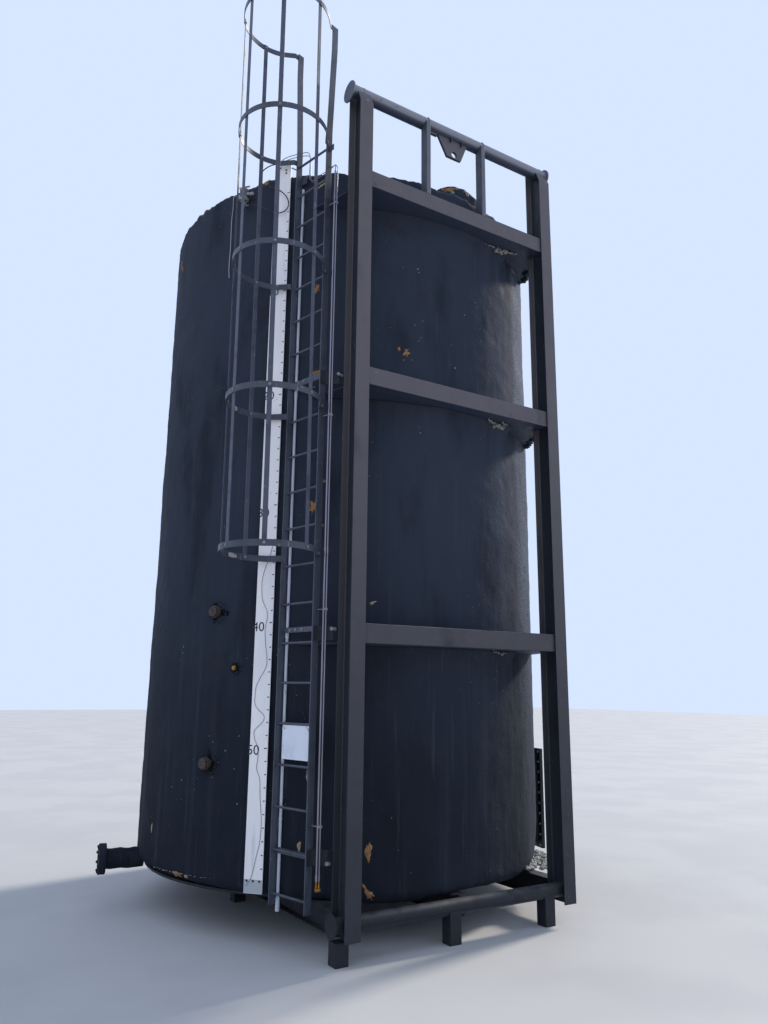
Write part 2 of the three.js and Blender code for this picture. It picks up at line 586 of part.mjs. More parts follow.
// Clean-out neck and its bolted cover on the right-hand side
const CLEAN_DEG = 75;
const CLEAN_Z = [330, 1285];
const CLEAN_HALF = 340;
const CLEAN_FLANGE_HALF = 400;
const CLEAN_FACE_R = 2000;
const COVER_THICK = 16;
const cleanN = onCircle(1, CLEAN_DEG);
const cleanS = [-cleanN[1], cleanN[0]];
function cleanPlate(s0, s1, r0, r1, z0, z1) {
  const at = (s, r) => [s * cleanS[0] + r * cleanN[0], s * cleanS[1] + r * cleanN[1]];
  return plate([at(s0, r0), at(s0, r1), at(s1, r1), at(s1, r0)], z0, z1);
}
const neck = solid(cleanPlate(-CLEAN_HALF, CLEAN_HALF, 1700, CLEAN_FACE_R - 14, CLEAN_Z[0] + 60, CLEAN_Z[1] - 60))
  .add(solid(cleanPlate(-CLEAN_FLANGE_HALF, CLEAN_FLANGE_HALF, CLEAN_FACE_R - 16, CLEAN_FACE_R,
    CLEAN_Z[0], CLEAN_Z[1])))
  .subtract(inWall);
node('cleanout_neck', geometryOf(neck), colour.dark, 0.7, 0.3);
node('cleanout_cover', cleanPlate(-CLEAN_FLANGE_HALF, CLEAN_FLANGE_HALF, CLEAN_FACE_R + GAP,
  CLEAN_FACE_R + COVER_THICK, CLEAN_Z[0], CLEAN_Z[1]), colour.dark, 0.7, 0.3);

// Valve on the upper wall: a stub, an upright body, an outlet with a gland, and a side plug
const VALVE_DEG = -60.2;
const VALVE_OUT = 62;
const VALVE_Z = 6302;
const valveAt = onCircle(FOAM_R + VALVE_OUT, VALVE_DEG);
const plugAt = onCircle(FOAM_R + VALVE_OUT, VALVE_DEG + 2.4);
const glandFrom = [valveAt[0], valveAt[1], 6192];
const glandTo = [-1662, -1012, 6188];
const valve = fuse([
  solid(rod(30, [...onCircle(FOAM_R - 30, VALVE_DEG), VALVE_Z], [...valveAt, VALVE_Z], 16)),
  solid(rod(40, [...valveAt, VALVE_Z - 46], [...valveAt, VALVE_Z + 46], 16)),
  solid(rod(17, [...valveAt, 6165], [...valveAt, VALVE_Z - 45], 12)),
  solid(rod(13, [...valveAt, VALVE_Z], [...plugAt, VALVE_Z - 8], 12)),
  solid(rod(9, glandFrom, glandTo, 12)),
]).subtract(inWall);
node('wall_valve', geometryOf(valve), colour.tube, 0.5, 0.5);

// Free cords: tubes along smooth curves through points chosen by hand
const CORD_SIDES = 8;
const CORD_STEPS = 80;
function cord(points, radius, steps) {
  const ring = [];
  for (let k = 0; k < CORD_SIDES; k += 1) {
    const a = (2 * Math.PI * k) / CORD_SIDES;
    ring.push(new THREE.Vector2(radius * Math.cos(a), radius * Math.sin(a)));
  }
  const extrudePath = new THREE.CatmullRomCurve3(points.map((p) => new THREE.Vector3(...p)));
  return new THREE.ExtrudeGeometry(new THREE.Shape(ring), { steps, extrudePath, bevelEnabled: false });
}

// Pale cord that hangs down the wall from just under the roof's edge
const HANGING_CORD_R = 4;
const HANGING_CORD = [
  [-1706, -797, 6380], [-1722, -804, 6381], [-1733, -807, 6370], [-1737, -804, 6345], [-1734, -800, 6300],
  [-1732, -793, 6255], [-1732, -784, 6210], [-1733, -779, 6150], [-1733, -778, 6060], [-1732, -780, 5960],
  [-1731, -782, 5860], [-1732, -780, 5770], [-1733, -778, 5690], [-1732, -780, 5610], [-1729, -787, 5540],
];
const hangingCord = solid(cord(HANGING_CORD, HANGING_CORD_R, 48)).subtract(inWall);
node('hanging_cord', geometryOf(hangingCord), colour.rope, 0.8, 0);

// Black cable from the roof over the gauge board's top, in one loop before the board, to the valve
const CABLE_R = 5;
const CABLE_LOOP = [
  [-1275, -1270, 6449.1], [-1276, -1271, 6471], [-1284, -1276, 6493], [-1303, -1284, 6511], [-1332, -1288, 6521],
  [-1377, -1283, 6528], [-1418, -1279, 6534], [-1457, -1278, 6538], [-1487, -1254, 6540], [-1515, -1228, 6540],
  [-1542, -1199, 6536], [-1567, -1169, 6523], [-1591, -1139, 6500], [-1605, -1118, 6462], [-1606, -1117, 6413],
  [-1591, -1142, 6362], [-1557, -1190, 6322], [-1518, -1238, 6292], [-1480, -1283, 6254], [-1446, -1322, 6202],
  [-1424, -1345, 6146], [-1419, -1350, 6092], [-1433, -1335, 6048], [-1466, -1299, 6028], [-1504, -1254, 6036],
  [-1543, -1203, 6071], [-1580, -1144, 6122], [-1612, -1090, 6162], [-1638, -1049, 6182], [-1668, -1003, 6189],
];
const glandSpace = rod(9 + GAP, glandFrom, [glandTo[0] + 0.3, glandTo[1] - 0.4, glandTo[2]], 12);
const cableLoop = solid(cord(CABLE_LOOP, CABLE_R, CORD_STEPS)).subtract(solid(glandSpace));
node('cable_loop', geometryOf(cableLoop), colour.cable, 0.6, 0);

// Thin gauge wire on the board's face, given across and up the board
const GAUGE_WIRE_R = 2;
const GAUGE_WIRE = [
  [47, 2992], [35, 2935], [13, 2870], [-14, 2797], [-31, 2716], [-31, 2635], [-21, 2554], [-1, 2513], [23, 2465],
  [30, 2417], [19, 2370], [13, 2314], [23, 2196], [38, 2102], [38, 2040], [15, 1986], [-17, 1932], [-44, 1870],
  [-49, 1809], [-47, 1740], [-14, 1695], [31, 1658], [33, 1620], [-8, 1574], [-43, 1536], [-39, 1484], [-13, 1425],
  [-1, 1344], [-10, 1262], [20, 1183], [28, 1067], [46, 902], [48, 803], [39, 710], [18, 625], [-2, 532],
  [-23, 461], [-57, 417],
];
const wireOut = GAUGE_WIRE_R + GAP + 0.1;
const gaugeWirePoints = GAUGE_WIRE.map(([s, z]) => [
  boardMid[0] + s * boardSide[0] + wireOut * boardNormal[0],
  boardMid[1] + s * boardSide[1] + wireOut * boardNormal[1], z,
]);
node('gauge_wire', cord(gaugeWirePoints, GAUGE_WIRE_R, CORD_STEPS), colour.cable, 0.6, 0.2);

export default group;
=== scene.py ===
# %% [markdown]
# # A foam-clad storage tank on its skid frame
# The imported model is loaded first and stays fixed. Everything here is in metres, with +Z up, the tank's
# axis at the origin and the skid frame on the -Y side. Azimuths are in degrees from -Y towards +X.

# %% Load the fixed frame
import math
import bpy
import bmesh
from mathutils import Matrix, Vector, noise


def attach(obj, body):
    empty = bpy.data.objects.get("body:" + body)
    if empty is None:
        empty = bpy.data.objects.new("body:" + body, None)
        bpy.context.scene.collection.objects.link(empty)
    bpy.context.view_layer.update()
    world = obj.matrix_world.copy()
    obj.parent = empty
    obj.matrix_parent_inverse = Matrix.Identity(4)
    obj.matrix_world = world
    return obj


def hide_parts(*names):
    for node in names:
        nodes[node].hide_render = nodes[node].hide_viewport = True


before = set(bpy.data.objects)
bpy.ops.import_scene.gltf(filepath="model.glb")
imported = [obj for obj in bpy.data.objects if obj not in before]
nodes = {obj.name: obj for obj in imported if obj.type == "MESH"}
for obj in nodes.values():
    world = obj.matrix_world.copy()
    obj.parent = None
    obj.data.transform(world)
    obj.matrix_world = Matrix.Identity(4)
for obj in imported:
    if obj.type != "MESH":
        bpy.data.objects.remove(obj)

NOISE_SEED = 4
noise.seed_set(NOISE_SEED)  # without a seed, vectors of noise would come out anew in every run

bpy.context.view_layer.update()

# %% [markdown]
# ## The camera
# A phone photograph taken from close by has strong perspective, so the lens, the place and the three
# angles all matter. They are given as real values: a place in metres, a heading from +Y towards +X, a
# pitch and a small roll. A look-at constraint could aim the camera, but it can't hold the roll.

# %% The camera, at the photograph's place and angle
CAMERA_PLACE = Vector((-4.0437, -7.2147, 1.867))
CAMERA_HEADING, CAMERA_PITCH, CAMERA_ROLL = (math.radians(deg) for deg in (32.034, 12.534, 0.613))
CAMERA_LENS, SENSOR_WIDTH, CLIP_END = 27.95, 36, 200


def add_object(name, data):
    """A new object in the scene, at the origin."""
    made = bpy.data.objects.new(name, data)
    bpy.context.scene.collection.objects.link(made)
    return made


forward = Vector((math.sin(CAMERA_HEADING) * math.cos(CAMERA_PITCH),
                  math.cos(CAMERA_HEADING) * math.cos(CAMERA_PITCH), math.sin(CAMERA_PITCH)))
right = Vector((math.cos(CAMERA_HEADING), -math.sin(CAMERA_HEADING), 0))
up = right.cross(forward)
rolled_right = right * math.cos(CAMERA_ROLL) + up * math.sin(CAMERA_ROLL)
rolled_up = up * math.cos(CAMERA_ROLL) - right * math.sin(CAMERA_ROLL)
camera = add_object("camera", bpy.data.cameras.new("camera"))
camera.data.lens = CAMERA_LENS
camera.data.sensor_width = SENSOR_WIDTH
camera.data.clip_end = CLIP_END
camera.matrix_world = Matrix.Translation(CAMERA_PLACE) @ Matrix((
    rolled_right, rolled_up, -forward)).transposed().to_4x4()
bpy.context.scene.camera = camera
print("camera at", tuple(camera.matrix_world.translation))

# %% [markdown]
# ## A way to mix finishes
# Every finish on this tank is weathered, so each is built the same way: one base colour and roughness,
# then layers of dust, rust, scuffs or frost that are painted on through masks of noise, and a relief in
# real metres. Nodes could be laid out by hand for each material, but a small class says the same thing in
# a maker's order. All patterns read Object coordinates, so they stay put from every side.

# %% A finish that takes layers
def hue(code):
    """The linear colour of an sRGB hex code, with full cover."""
    parts = [int(code[i:i + 2], 16) / 255 for i in (0, 2, 4)]
    return (*(c / 12.92 if c <= 0.04045 else ((c + 0.055) / 1.055) ** 2.4 for c in parts), 1)


class Finish:
    """A Principled shader with layers of colour, roughness and relief stacked on it."""

    def __init__(self, name, code, roughness, metallic=0.0, specular=0.5):
        self.material = bpy.data.materials.new(name)
        self.material.use_nodes = True
        self.tree = self.material.node_tree
        self.shader = self.tree.nodes["Principled BSDF"]
        self.shader.inputs["Metallic"].default_value = metallic
        self.shader.inputs["Specular IOR Level"].default_value = specular
        self.colour, self.roughness, self.relief = hue(code), roughness, 0.0
        self.place = self.node("TexCoord").outputs["Object"]
        self.x, self.y, self.z = self.node("SeparateXYZ", {0: self.place}).outputs[:3]
        self.facing = self.node("SeparateXYZ", {0: self.node("NewGeometry").outputs["Normal"]}).outputs

    def node(self, kind, inputs=(), **settings):
        made = self.tree.nodes.new("ShaderNode" + kind)
        for key, value in settings.items():
            setattr(made, key, value)
        for key, value in dict(inputs).items():
            if isinstance(value, bpy.types.NodeSocket):
                self.tree.links.new(value, made.inputs[key])
            else:
                made.inputs[key].default_value = value
        return made

    def math(self, how, a, b=0.0):
        return self.node("Math", {0: a, 1: b}, operation=how).outputs[0]

    def moved(self, shift, along_z=1.0):
        """Where a pattern is read: moved by a shift, and drawn out upright when along_z is below 1."""
        return self.node("Mapping", {0: self.place, 1: (shift, shift, shift), 3: (1, 1, along_z)}).outputs[0]

    def noise(self, scale, detail=4.0, shift=0.0, along_z=1.0):
        """Fractal noise from 0 to 1, with about scale features a metre."""
        return self.node("TexNoise", {"Vector": self.moved(shift, along_z), "Scale": scale, "Detail": detail,
                                      "Roughness": 0.55}).outputs[0]

    def cells(self, scale, shift=0.0):
        """Distance to the nearest of about scale points a metre, from 0 outwards."""
        return self.node("TexVoronoi", {"Vector": self.moved(shift), "Scale": scale}).outputs["Distance"]

    def mask(self, value, low, high):
        """0 below low, 1 above high, smooth between. With low above high it runs the other way."""
        flip = low > high
        ends = {1: min(low, high), 2: max(low, high), 3: float(flip), 4: float(not flip)}
        return self.node("MapRange", {0: value, **ends}, interpolation_type="SMOOTHSTEP").outputs[0]

    def patches(self, span, *grain):
        """A mask of noise, which goes from 0 to 1 as the noise rises through a span."""
        return self.mask(self.noise(*grain), *span)

    def both(self, *masks):
        result = masks[0]
        for other in masks[1:]:
            result = self.math("MULTIPLY", result, other)
        return result

    def paint(self, code, mask, strength=1.0):
        share = mask if strength == 1.0 else self.math("MULTIPLY", mask, strength)
        mix = self.node("Mix", {0: share, 6: self.colour, 7: hue(code)}, data_type="RGBA")
        self.colour = mix.outputs[2]

    def blotch(self, code, strength, span, *grain):
        """Paints a colour through patches of noise."""
        self.paint(code, self.patches(span, *grain), strength)

    def rub(self, roughness, mask):
        self.roughness = self.node("Mix", {0: mask, 2: self.roughness, 3: roughness}).outputs[0]

    def raise_by(self, metres, value):
        raised = self.node("Math", {0: value, 1: metres, 2: self.relief}, operation="MULTIPLY_ADD")
        self.relief = raised.outputs[0]

    def done(self):
        links, inputs = self.tree.links, self.shader.inputs
        links.new(self.colour, inputs["Base Color"])
        if isinstance(self.roughness, bpy.types.NodeSocket):
            links.new(self.roughness, inputs["Roughness"])
        else:
            inputs["Roughness"].default_value = self.roughness
        bump = self.node("Bump", {"Height": self.relief, "Distance": 1.0, "Strength": 1.0})
        links.new(bump.outputs[0], inputs["Normal"])
        print("finish", self.material.name, len(self.tree.nodes), "nodes")
        return self.material


# %% Finishes that are all noise
def noisy_finish(name, code, roughness, blotches, relief, rubbed=None, **surface):
    """A blotch is (colour, strength, span, noise), a relief (metres, noise), a rub (roughness, span, noise)."""
    finish = Finish(name, code, roughness, **surface)
    for blotch in blotches:
        finish.blotch(*blotch)
    if rubbed:
        finish.rub(rubbed[0], finish.patches(*rubbed[1:]))
    finish.raise_by(relief[0], finish.noise(*relief[1:]))
    return finish.done()


def cord_finish(name, code, worn, roughness):
    return noisy_finish(name, code, roughness, [(worn, 0.7, (0.5, 0.75), 60, 3)], (0.0006, 500, 2),
                        (roughness + 0.2, (0.4, 0.7), 25, 2, 4))


rope_pale = cord_finish("rope_pale", "a4a6a6", "5f625f", 0.8)
cable_black = cord_finish("cable_black", "131518", "2c3036", 0.5)
wire_pale = cord_finish("wire_pale", "7f838e", "5a5148", 0.6)

# %% [markdown]
# ## The free cords
# Three free cords show from end to end: a pale cord down the wall's left side, a black cable that comes up
# behind the gauge board, loops over its top and goes back to the wall, and a thin wire on the board's face.
# Each could be a mesh tube, but a curve keeps its own centre line, so its length can be measured. The
# routes pass smoothly through chosen points, by the same kind of spline as their solids.

# %% Directions on the tank
UP = Vector((0, 0, 1))


def out_of(deg):
    """The direction that points straight out of the wall at an azimuth."""
    return Vector((math.sin(math.radians(deg)), -math.cos(math.radians(deg)), 0))


def across(deg):
    """The level direction along the wall at an azimuth, towards larger azimuths."""
    return Vector((math.cos(math.radians(deg)), math.sin(math.radians(deg)), 0))


def spot(deg, radius, z):
    """The point at an azimuth, a distance from the tank's axis and a height."""
    return out_of(deg) * radius + UP * z


print("out of the wall at azimuth 90", tuple(round(c, 3) for c in out_of(90)))

# %% A round tube along a smooth route
TUBE_ROUNDNESS = 3


def through(points, steps=5):
    """Points on a centripetal Catmull-Rom spline that passes through the given ones."""
    ends = [points[0] * 2 - points[1], *points, points[-1] * 2 - points[-2]]
    route = []
    for p0, p1, p2, p3 in zip(ends, ends[1:], ends[2:], ends[3:]):
        t1 = max((p1 - p0).length, 1e-6) ** 0.5
        t2 = t1 + (p2 - p1).length ** 0.5
        t3 = t2 + max((p3 - p2).length, 1e-6) ** 0.5
        for k in range(steps):
            t = t1 + (t2 - t1) * k / steps
            a1 = p0.lerp(p1, t / t1)
            a2 = p1.lerp(p2, (t - t1) / (t2 - t1))
            a3 = p2.lerp(p3, (t - t2) / (t3 - t2))
            route.append(a1.lerp(a2, t / t2).lerp(a2.lerp(a3, (t - t1) / (t3 - t1)), (t - t1) / (t2 - t1)))
    return route + [points[-1]]


def tube_curve(name, route, radius, finish):
    """A round tube along a route, as a curve object that lies at the origin, and its length."""
    curve = bpy.data.curves.new(name, "CURVE")
    curve.dimensions = "3D"
    curve.bevel_depth = radius
    curve.bevel_resolution = TUBE_ROUNDNESS
    curve.use_fill_caps = True
    spline = curve.splines.new("POLY")
    spline.points.add(len(route) - 1)
    for point, place in zip(spline.points, route):
        point.co = (*place, 1)
    spline.use_smooth = True
    curve.materials.append(finish)
    length = sum((b - a).length for a, b in zip(route, route[1:]))
    print(name, "length", round(length, 3), "m")
    return add_object(name, curve), length


def free_cord(name, points, radius, finish, slot, **facts):
    tube, length = tube_curve(name + "_tube", through(points), radius, finish)
    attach(tube, "root")
    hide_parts(name)


# %% The hanging cord
MM = 0.001
HANGING_CORD_R = 0.004
HANGING_CORD = (  # places in mm
    (-1706, -797, 6380), (-1722, -804, 6381), (-1733, -807, 6370), (-1737, -804, 6345), (-1734, -800, 6300),
    (-1732, -793, 6255), (-1732, -784, 6210), (-1733, -779, 6150), (-1733, -778, 6060), (-1732, -780, 5960),
    (-1731, -782, 5860), (-1732, -780, 5770), (-1733, -778, 5690), (-1732, -780, 5610), (-1729, -787, 5540))
free_cord("hanging_cord", [Vector(p) * MM for p in HANGING_CORD], HANGING_CORD_R, rope_pale, "rope",
          far_end="bare", stiffness="limp", lay="hanging")

# %% The cable loop
CABLE_R = 0.005
CABLE_LOOP = (  # places in mm
    (-1275, -1270, 6449.1), (-1276, -1271, 6471), (-1284, -1276, 6493), (-1303, -1284, 6511),
    (-1332, -1288, 6521), (-1377, -1283, 6528), (-1418, -1279, 6534), (-1457, -1278, 6538),
    (-1487, -1254, 6540), (-1515, -1228, 6540), (-1542, -1199, 6536), (-1567, -1169, 6523),
    (-1591, -1139, 6500), (-1605, -1118, 6462), (-1606, -1117, 6413), (-1591, -1142, 6362),
    (-1557, -1190, 6322), (-1518, -1238, 6292), (-1480, -1283, 6254), (-1446, -1322, 6202),
    (-1424, -1345, 6146), (-1419, -1350, 6092), (-1433, -1335, 6048), (-1466, -1299, 6028),
    (-1504, -1254, 6036), (-1543, -1203, 6071), (-1580, -1144, 6122), (-1612, -1090, 6162),
    (-1638, -1049, 6182), (-1668, -1003, 6189))
free_cord("cable_loop", [Vector(p) * MM for p in CABLE_LOOP], CABLE_R, cable_black, "cable",
          far_end="object", stiffness="medium", lay="loose")

# %% The gauge's wire
BOARD_DEG, BOARD_R = -48.6, 1.935
WIRE_R, WIRE_GAP = 0.002, 0.0004
GAUGE_WIRE = (  # mm to the right of the board's middle, and height in mm
    (47, 2992), (35, 2935), (13, 2870), (-14, 2797), (-31, 2716), (-31, 2635), (-21, 2554), (-1, 2513),
    (23, 2465), (30, 2417), (19, 2370), (13, 2314), (23, 2196), (38, 2102), (38, 2040), (15, 1986),
    (-17, 1932), (-44, 1870), (-49, 1809), (-47, 1740), (-14, 1695), (31, 1658), (33, 1620), (-8, 1574),
    (-43, 1536), (-39, 1484), (-13, 1425), (-1, 1344), (-10, 1262), (20, 1183), (28, 1067), (46, 902),
    (48, 803), (39, 710), (18, 625), (-2, 532), (-23, 461), (-57, 417))


def on_board(s, z, out):
    """A point in front of the gauge board's face, s to the right of its middle."""
    return out_of(BOARD_DEG) * (BOARD_R + out) + across(BOARD_DEG) * s + UP * z


wire_route = [on_board(s * MM, z * MM, WIRE_R + WIRE_GAP) for s, z in GAUGE_WIRE]
free_cord("gauge_wire", wire_route, WIRE_R, wire_pale, "cable",
          far_end="bare", stiffness="limp", lay="hanging")

# %% [markdown]
# ## Ways to make pieces
# Plain solids need the same few steps: a bmesh is turned into an object at the origin, shaded smooth with
# sharp edges kept, and tied to the tank. Rounded edges would bend the shading of the large faces beside
# them, so the normals are weighted by area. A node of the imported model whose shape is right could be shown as
# it is, but its edges are knife sharp, so a merged and bevelled copy stands for it.

# %% From bmesh to piece
SHARP, CRUMPLED, SOFT = (math.radians(deg) for deg in (38, 60, 80))


def piece(bm, name, finish, slot, *stands_for, sharp=SHARP):
    bmesh.ops.recalc_face_normals(bm, faces=bm.faces)
    mesh = bpy.data.meshes.new(name)
    bm.to_mesh(mesh)
    bm.free()
    mesh.materials.append(finish)
    mesh.shade_smooth()
    mesh.set_sharp_from_angle(angle=sharp)
    made = add_object(name, mesh)
    if sharp == SHARP:
        made.modifiers.new("flat_faces", "WEIGHTED_NORMAL").keep_sharp = True
    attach(made, "root")
    if stands_for:
        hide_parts(*stands_for)
    print("piece", name, len(mesh.polygons), "faces")


def bevel(bm, geom, width, segments, affect="EDGES", **more):
    bmesh.ops.bevel(bm, geom=geom, offset=width, segments=segments, profile=0.5, affect=affect, material=-1,
                    **more)


def round_edges(bm, width, segments=2, wanted=lambda edge: True, angle=SHARP):
    """Bevels the outward edges that are sharper than an angle and that are wanted."""
    edges = [e for e in bm.edges
             if e.is_manifold and e.calc_face_angle(0) > angle and e.is_convex and wanted(e)]
    bevel(bm, edges, width, segments, clamp_overlap=False)


def dressed(node, finish, slot, width=0.0015, segments=2, long_width=0.0):
    """A merged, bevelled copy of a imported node, with a larger round on its longest edges if one is given."""
    bm = bmesh.new()
    bm.from_mesh(nodes[node].data)
    bmesh.ops.remove_doubles(bm, verts=bm.verts, dist=2e-5)
    bmesh.ops.dissolve_limit(bm, angle_limit=math.radians(0.5), verts=bm.verts, edges=bm.edges)
    if long_width:
        round_edges(bm, long_width, 3, lambda edge: edge.calc_length() > 1.0)
    round_edges(bm, width, segments)
    piece(bm, node + "_dressed", finish, slot, node)


print("edges under", round(math.degrees(SHARP)), "degrees are shaded smooth")

# %% Lines of points, and shapes spun from them
def chain(bm, points):
    """Points joined one after the other by edges, which are given back."""
    verts = [bm.verts.new(point) for point in points]
    return [bm.edges.new(pair) for pair in zip(verts, verts[1:])]


def spin_round(bm, centre, axis, steps):
    """Spins all points and edges once round an axis, and closes the seam."""
    bmesh.ops.spin(bm, geom=bm.verts[:] + bm.edges[:], cent=centre, axis=axis, angle=2 * math.pi, steps=steps,
                   use_merge=True)


def pour(bm, small):
    """Adds a small bmesh's points and faces to a larger one."""
    moved = {v: bm.verts.new(v.co) for v in small.verts}
    for face in small.faces:
        bm.faces.new([moved[v] for v in face.verts])
    small.free()


def add_ring(bm, centre, axis, radius, bead, segments=40, lumps=0.25):
    """A weld bead or a rim: a small circle spun about an axis, a little uneven."""
    centre, axis = Vector(centre), Vector(axis).normalized()
    side = axis.orthogonal().normalized()
    turn = Matrix((side, axis, side.cross(axis))).transposed().to_4x4()
    ring = bmesh.new()
    bmesh.ops.create_circle(ring, segments=7, radius=bead,
                            matrix=Matrix.Translation(centre + side * radius) @ turn)
    spin_round(ring, centre, axis, segments)
    for v in ring.verts:
        v.co += noise.noise_vector(v.co * 90) * bead * lumps
    pour(bm, ring)


# %% Boxes, bars and bolts
def add_box(bm, low, high, width=0.0, segments=2):
    """A box between two corners, with its edges rounded by a width."""
    low, high = Vector(low), Vector(high)
    place = Matrix.Translation((low + high) / 2) @ Matrix.Diagonal((*(high - low), 1))
    verts = bmesh.ops.create_cube(bm, size=1, matrix=place)["verts"]
    if width:
        bevel(bm, list({e for v in verts for e in v.link_edges}), width, segments)


def add_rod(bm, start, end, radius, segments=16, width=0.0, end_radius=None):
    """A round bar between two points, or a cone, with its rims rounded by a width."""
    start, end = Vector(start), Vector(end)
    axis = end - start
    turn = axis.to_track_quat("Z", "Y").to_matrix().to_4x4()
    verts = bmesh.ops.create_cone(
        bm, cap_ends=True, segments=segments, radius1=radius, radius2=end_radius or radius, depth=axis.length,
        matrix=Matrix.Translation((start + end) / 2) @ turn)["verts"]
    if width:
        bevel(bm, list({e for v in verts for e in v.link_edges
                        if abs((e.verts[0].co - e.verts[1].co).dot(axis)) < 1e-6}), width, 2)


def add_upright(bm, foot, z0, z1, *shape):
    """A round bar that stands over a place of the ground plan, between two heights."""
    add_rod(bm, foot + UP * z0, foot + UP * z1, *shape)


def add_spoke(bm, deg, z, start, end, *shape):
    """A round bar straight out of the wall, between two distances from the foam's mean radius."""
    add_rod(bm, spot(deg, FOAM_R + start, z), spot(deg, FOAM_R + end, z), *shape)


def add_bolt(bm, place, out, radius=0.009, height=0.008):
    """A hexagon head with a washer under it."""
    place, out = Vector(place), Vector(out).normalized()
    add_rod(bm, place - out * 0.002, place + out * 0.0025, radius * 1.45, 14)
    add_rod(bm, place, place + out * height, radius, 6, radius * 0.12)


# %% [markdown]
# ## The sprayed foam's finish
# Foam is sprayed on the steel shell and coated black. The coat is matt and rough like orange peel, with
# faint upright runs, dust in the runs and pale specks. It also carries painted light: it is painted lighter
# towards the top, with a lighter streaky band where the sun starts to graze the wall's right side, and
# further right a pale speckled strip that is partly frost and partly a painted glint of sun on the peel.
# A picture of foam would tile and smear, so the coat is noise at its real sizes: peel of about 20 mm, and
# runs as noise that is drawn out along Z.

# %% Coat of the foam
FOAM_RELIEF = (  # metres, then the noise
    (0.0055, 11, 3, 2), (0.0032, 48, 3, 5), (0.0008, 170, 2, 9), (0.002, 9, 3, 3, 0.08))


def foam_finish(name, frost_and_lit_bands=True):
    coat = Finish(name, "1f242c", 0.92, specular=0.12)
    # painted light: the coat is painted lighter towards the top, for the stronger sky light high up and the
    # weaker light near the foot
    coat.paint("343a45", coat.mask(coat.z, 0.8, 3.6))
    coat.blotch("2b313a", 0.5, (0.4, 0.75), 0.9, 5)
    coat.blotch("171b21", 0.6, (0.5, 0.75), 2.6, 4, 7, 0.35)
    coat.blotch("363b43", 0.45, (0.5, 0.72), 7, 5, 3, 0.05)
    coat.blotch("3d424a", 0.35, (0.58, 0.7), 26, 4, 11, 0.04)
    coat.blotch("33291f", 0.35, (0.62, 0.74), 3.3, 6, 21)
    specks = coat.both(coat.mask(coat.cells(17, 3), 0.085, 0.05), coat.patches((0.58, 0.66), 1.7, 2, 31))
    coat.paint("8a8a84", specks, 0.8)
    if frost_and_lit_bands:
        # painted highlight, partly real frost: a pale speckled strip on the upright wall from about 27 degrees
        # of azimuth, fading downwards, where the sun grazes the peel's tips
        azimuth = coat.math("ARCTAN2", coat.x, coat.math("MULTIPLY", coat.y, -1.0))
        upright = coat.mask(coat.facing[2], 0.55, 0.2)
        frost_and_sun_glint = coat.both(coat.mask(azimuth, 0.47, 0.55), coat.mask(azimuth, 1.9, 1.0), upright,
                          coat.patches((0.42, 0.62), 75, 3, 6), coat.patches((0.25, 0.5), 1.5, 3, 17, 0.4),
                          coat.mask(coat.z, 0.3, 4.4))
        coat.paint("737b8d", frost_and_sun_glint, 0.75)
        # painted light: a lighter blue-grey streaky band from about 9 degrees of azimuth, where the sun begins
        # to light the wall
        dust_and_painted_light = coat.both(coat.mask(azimuth, 0.16, 0.36), coat.mask(azimuth, 1.9, 1.3), upright,
                          coat.patches((0.35, 0.65), 6, 4, 13, 0.06), coat.mask(coat.z, 0.5, 4.4))
        coat.paint("495060", dust_and_painted_light, 0.4)
    coat.rub(0.8, coat.patches((0.5, 0.7), 2.2, 4, 12))
    for metres, *grain in FOAM_RELIEF:
        coat.raise_by(metres, coat.noise(*grain))
    return coat.done()


foam_coat = foam_finish("foam_coat")
hatch_coat = foam_finish("hatch_coat", frost_and_lit_bands=False)

# %% [markdown]
# Where the coat has broken away the foam itself shows, yellow at first and orange after a few summers.

# %% Raw foam and pale torn foam
def raw_foam(name, code, dark, pale):
    raw = Finish(name, code, 0.9, specular=0.2)
    raw.blotch(dark, 0.8, (0.45, 0.7), 60, 4)
    raw.blotch(pale, 0.7, (0.56, 0.72), 110, 3, 8)
    raw.paint("2a211a", raw.mask(raw.cells(140), 0.25, 0.1), 0.5)
    raw.raise_by(0.004, raw.noise(120, 4))
    raw.raise_by(-0.003, raw.mask(raw.cells(160), 0.4, 0.1))
    return raw.done()


foam_orange = raw_foam("foam_orange", "a57a50", "553a28", "d9bf98")
foam_yellow = raw_foam("foam_yellow", "b5a27c", "64523a", "e2d6b4")
foam_pale = raw_foam("foam_pale", "9b9b96", "3f4146", "cfcec6")

# %% [markdown]
# ## The foam-clad wall and roof
# Wall, shoulder and roof are one continuous skin of foam, a few centimetres uneven, which turns in at its
# torn lower edge and swells out under the saddle plates, where the spray filled the corner. It could be a
# cylinder with a displacement texture, but those swellings have their own places. So a profile of the shell
# is spun about the axis, and then each point is moved by noise and by what swells there. The inside is part
# of the profile too, which makes it a closed shell.

# %% The profile
FOAM_R, INNER_R = 1.893, 1.828
LIP_Z, SHOULDER_Z, ROOF_EDGE_Z, ROOF_CENTRE_Z, ROOF_THICK = 0.325, 6.39, 6.445, 6.6, 0.065
EDGE_ROUND, EDGE_STEPS = 0.055, 4
SKIN_COLUMNS, FINE_PITCH, ROW_PITCH, ROOF_CUTS = 420, 0.018, 0.038, 22
PLATE_ZS = (6.057, 4.262, 2.198)

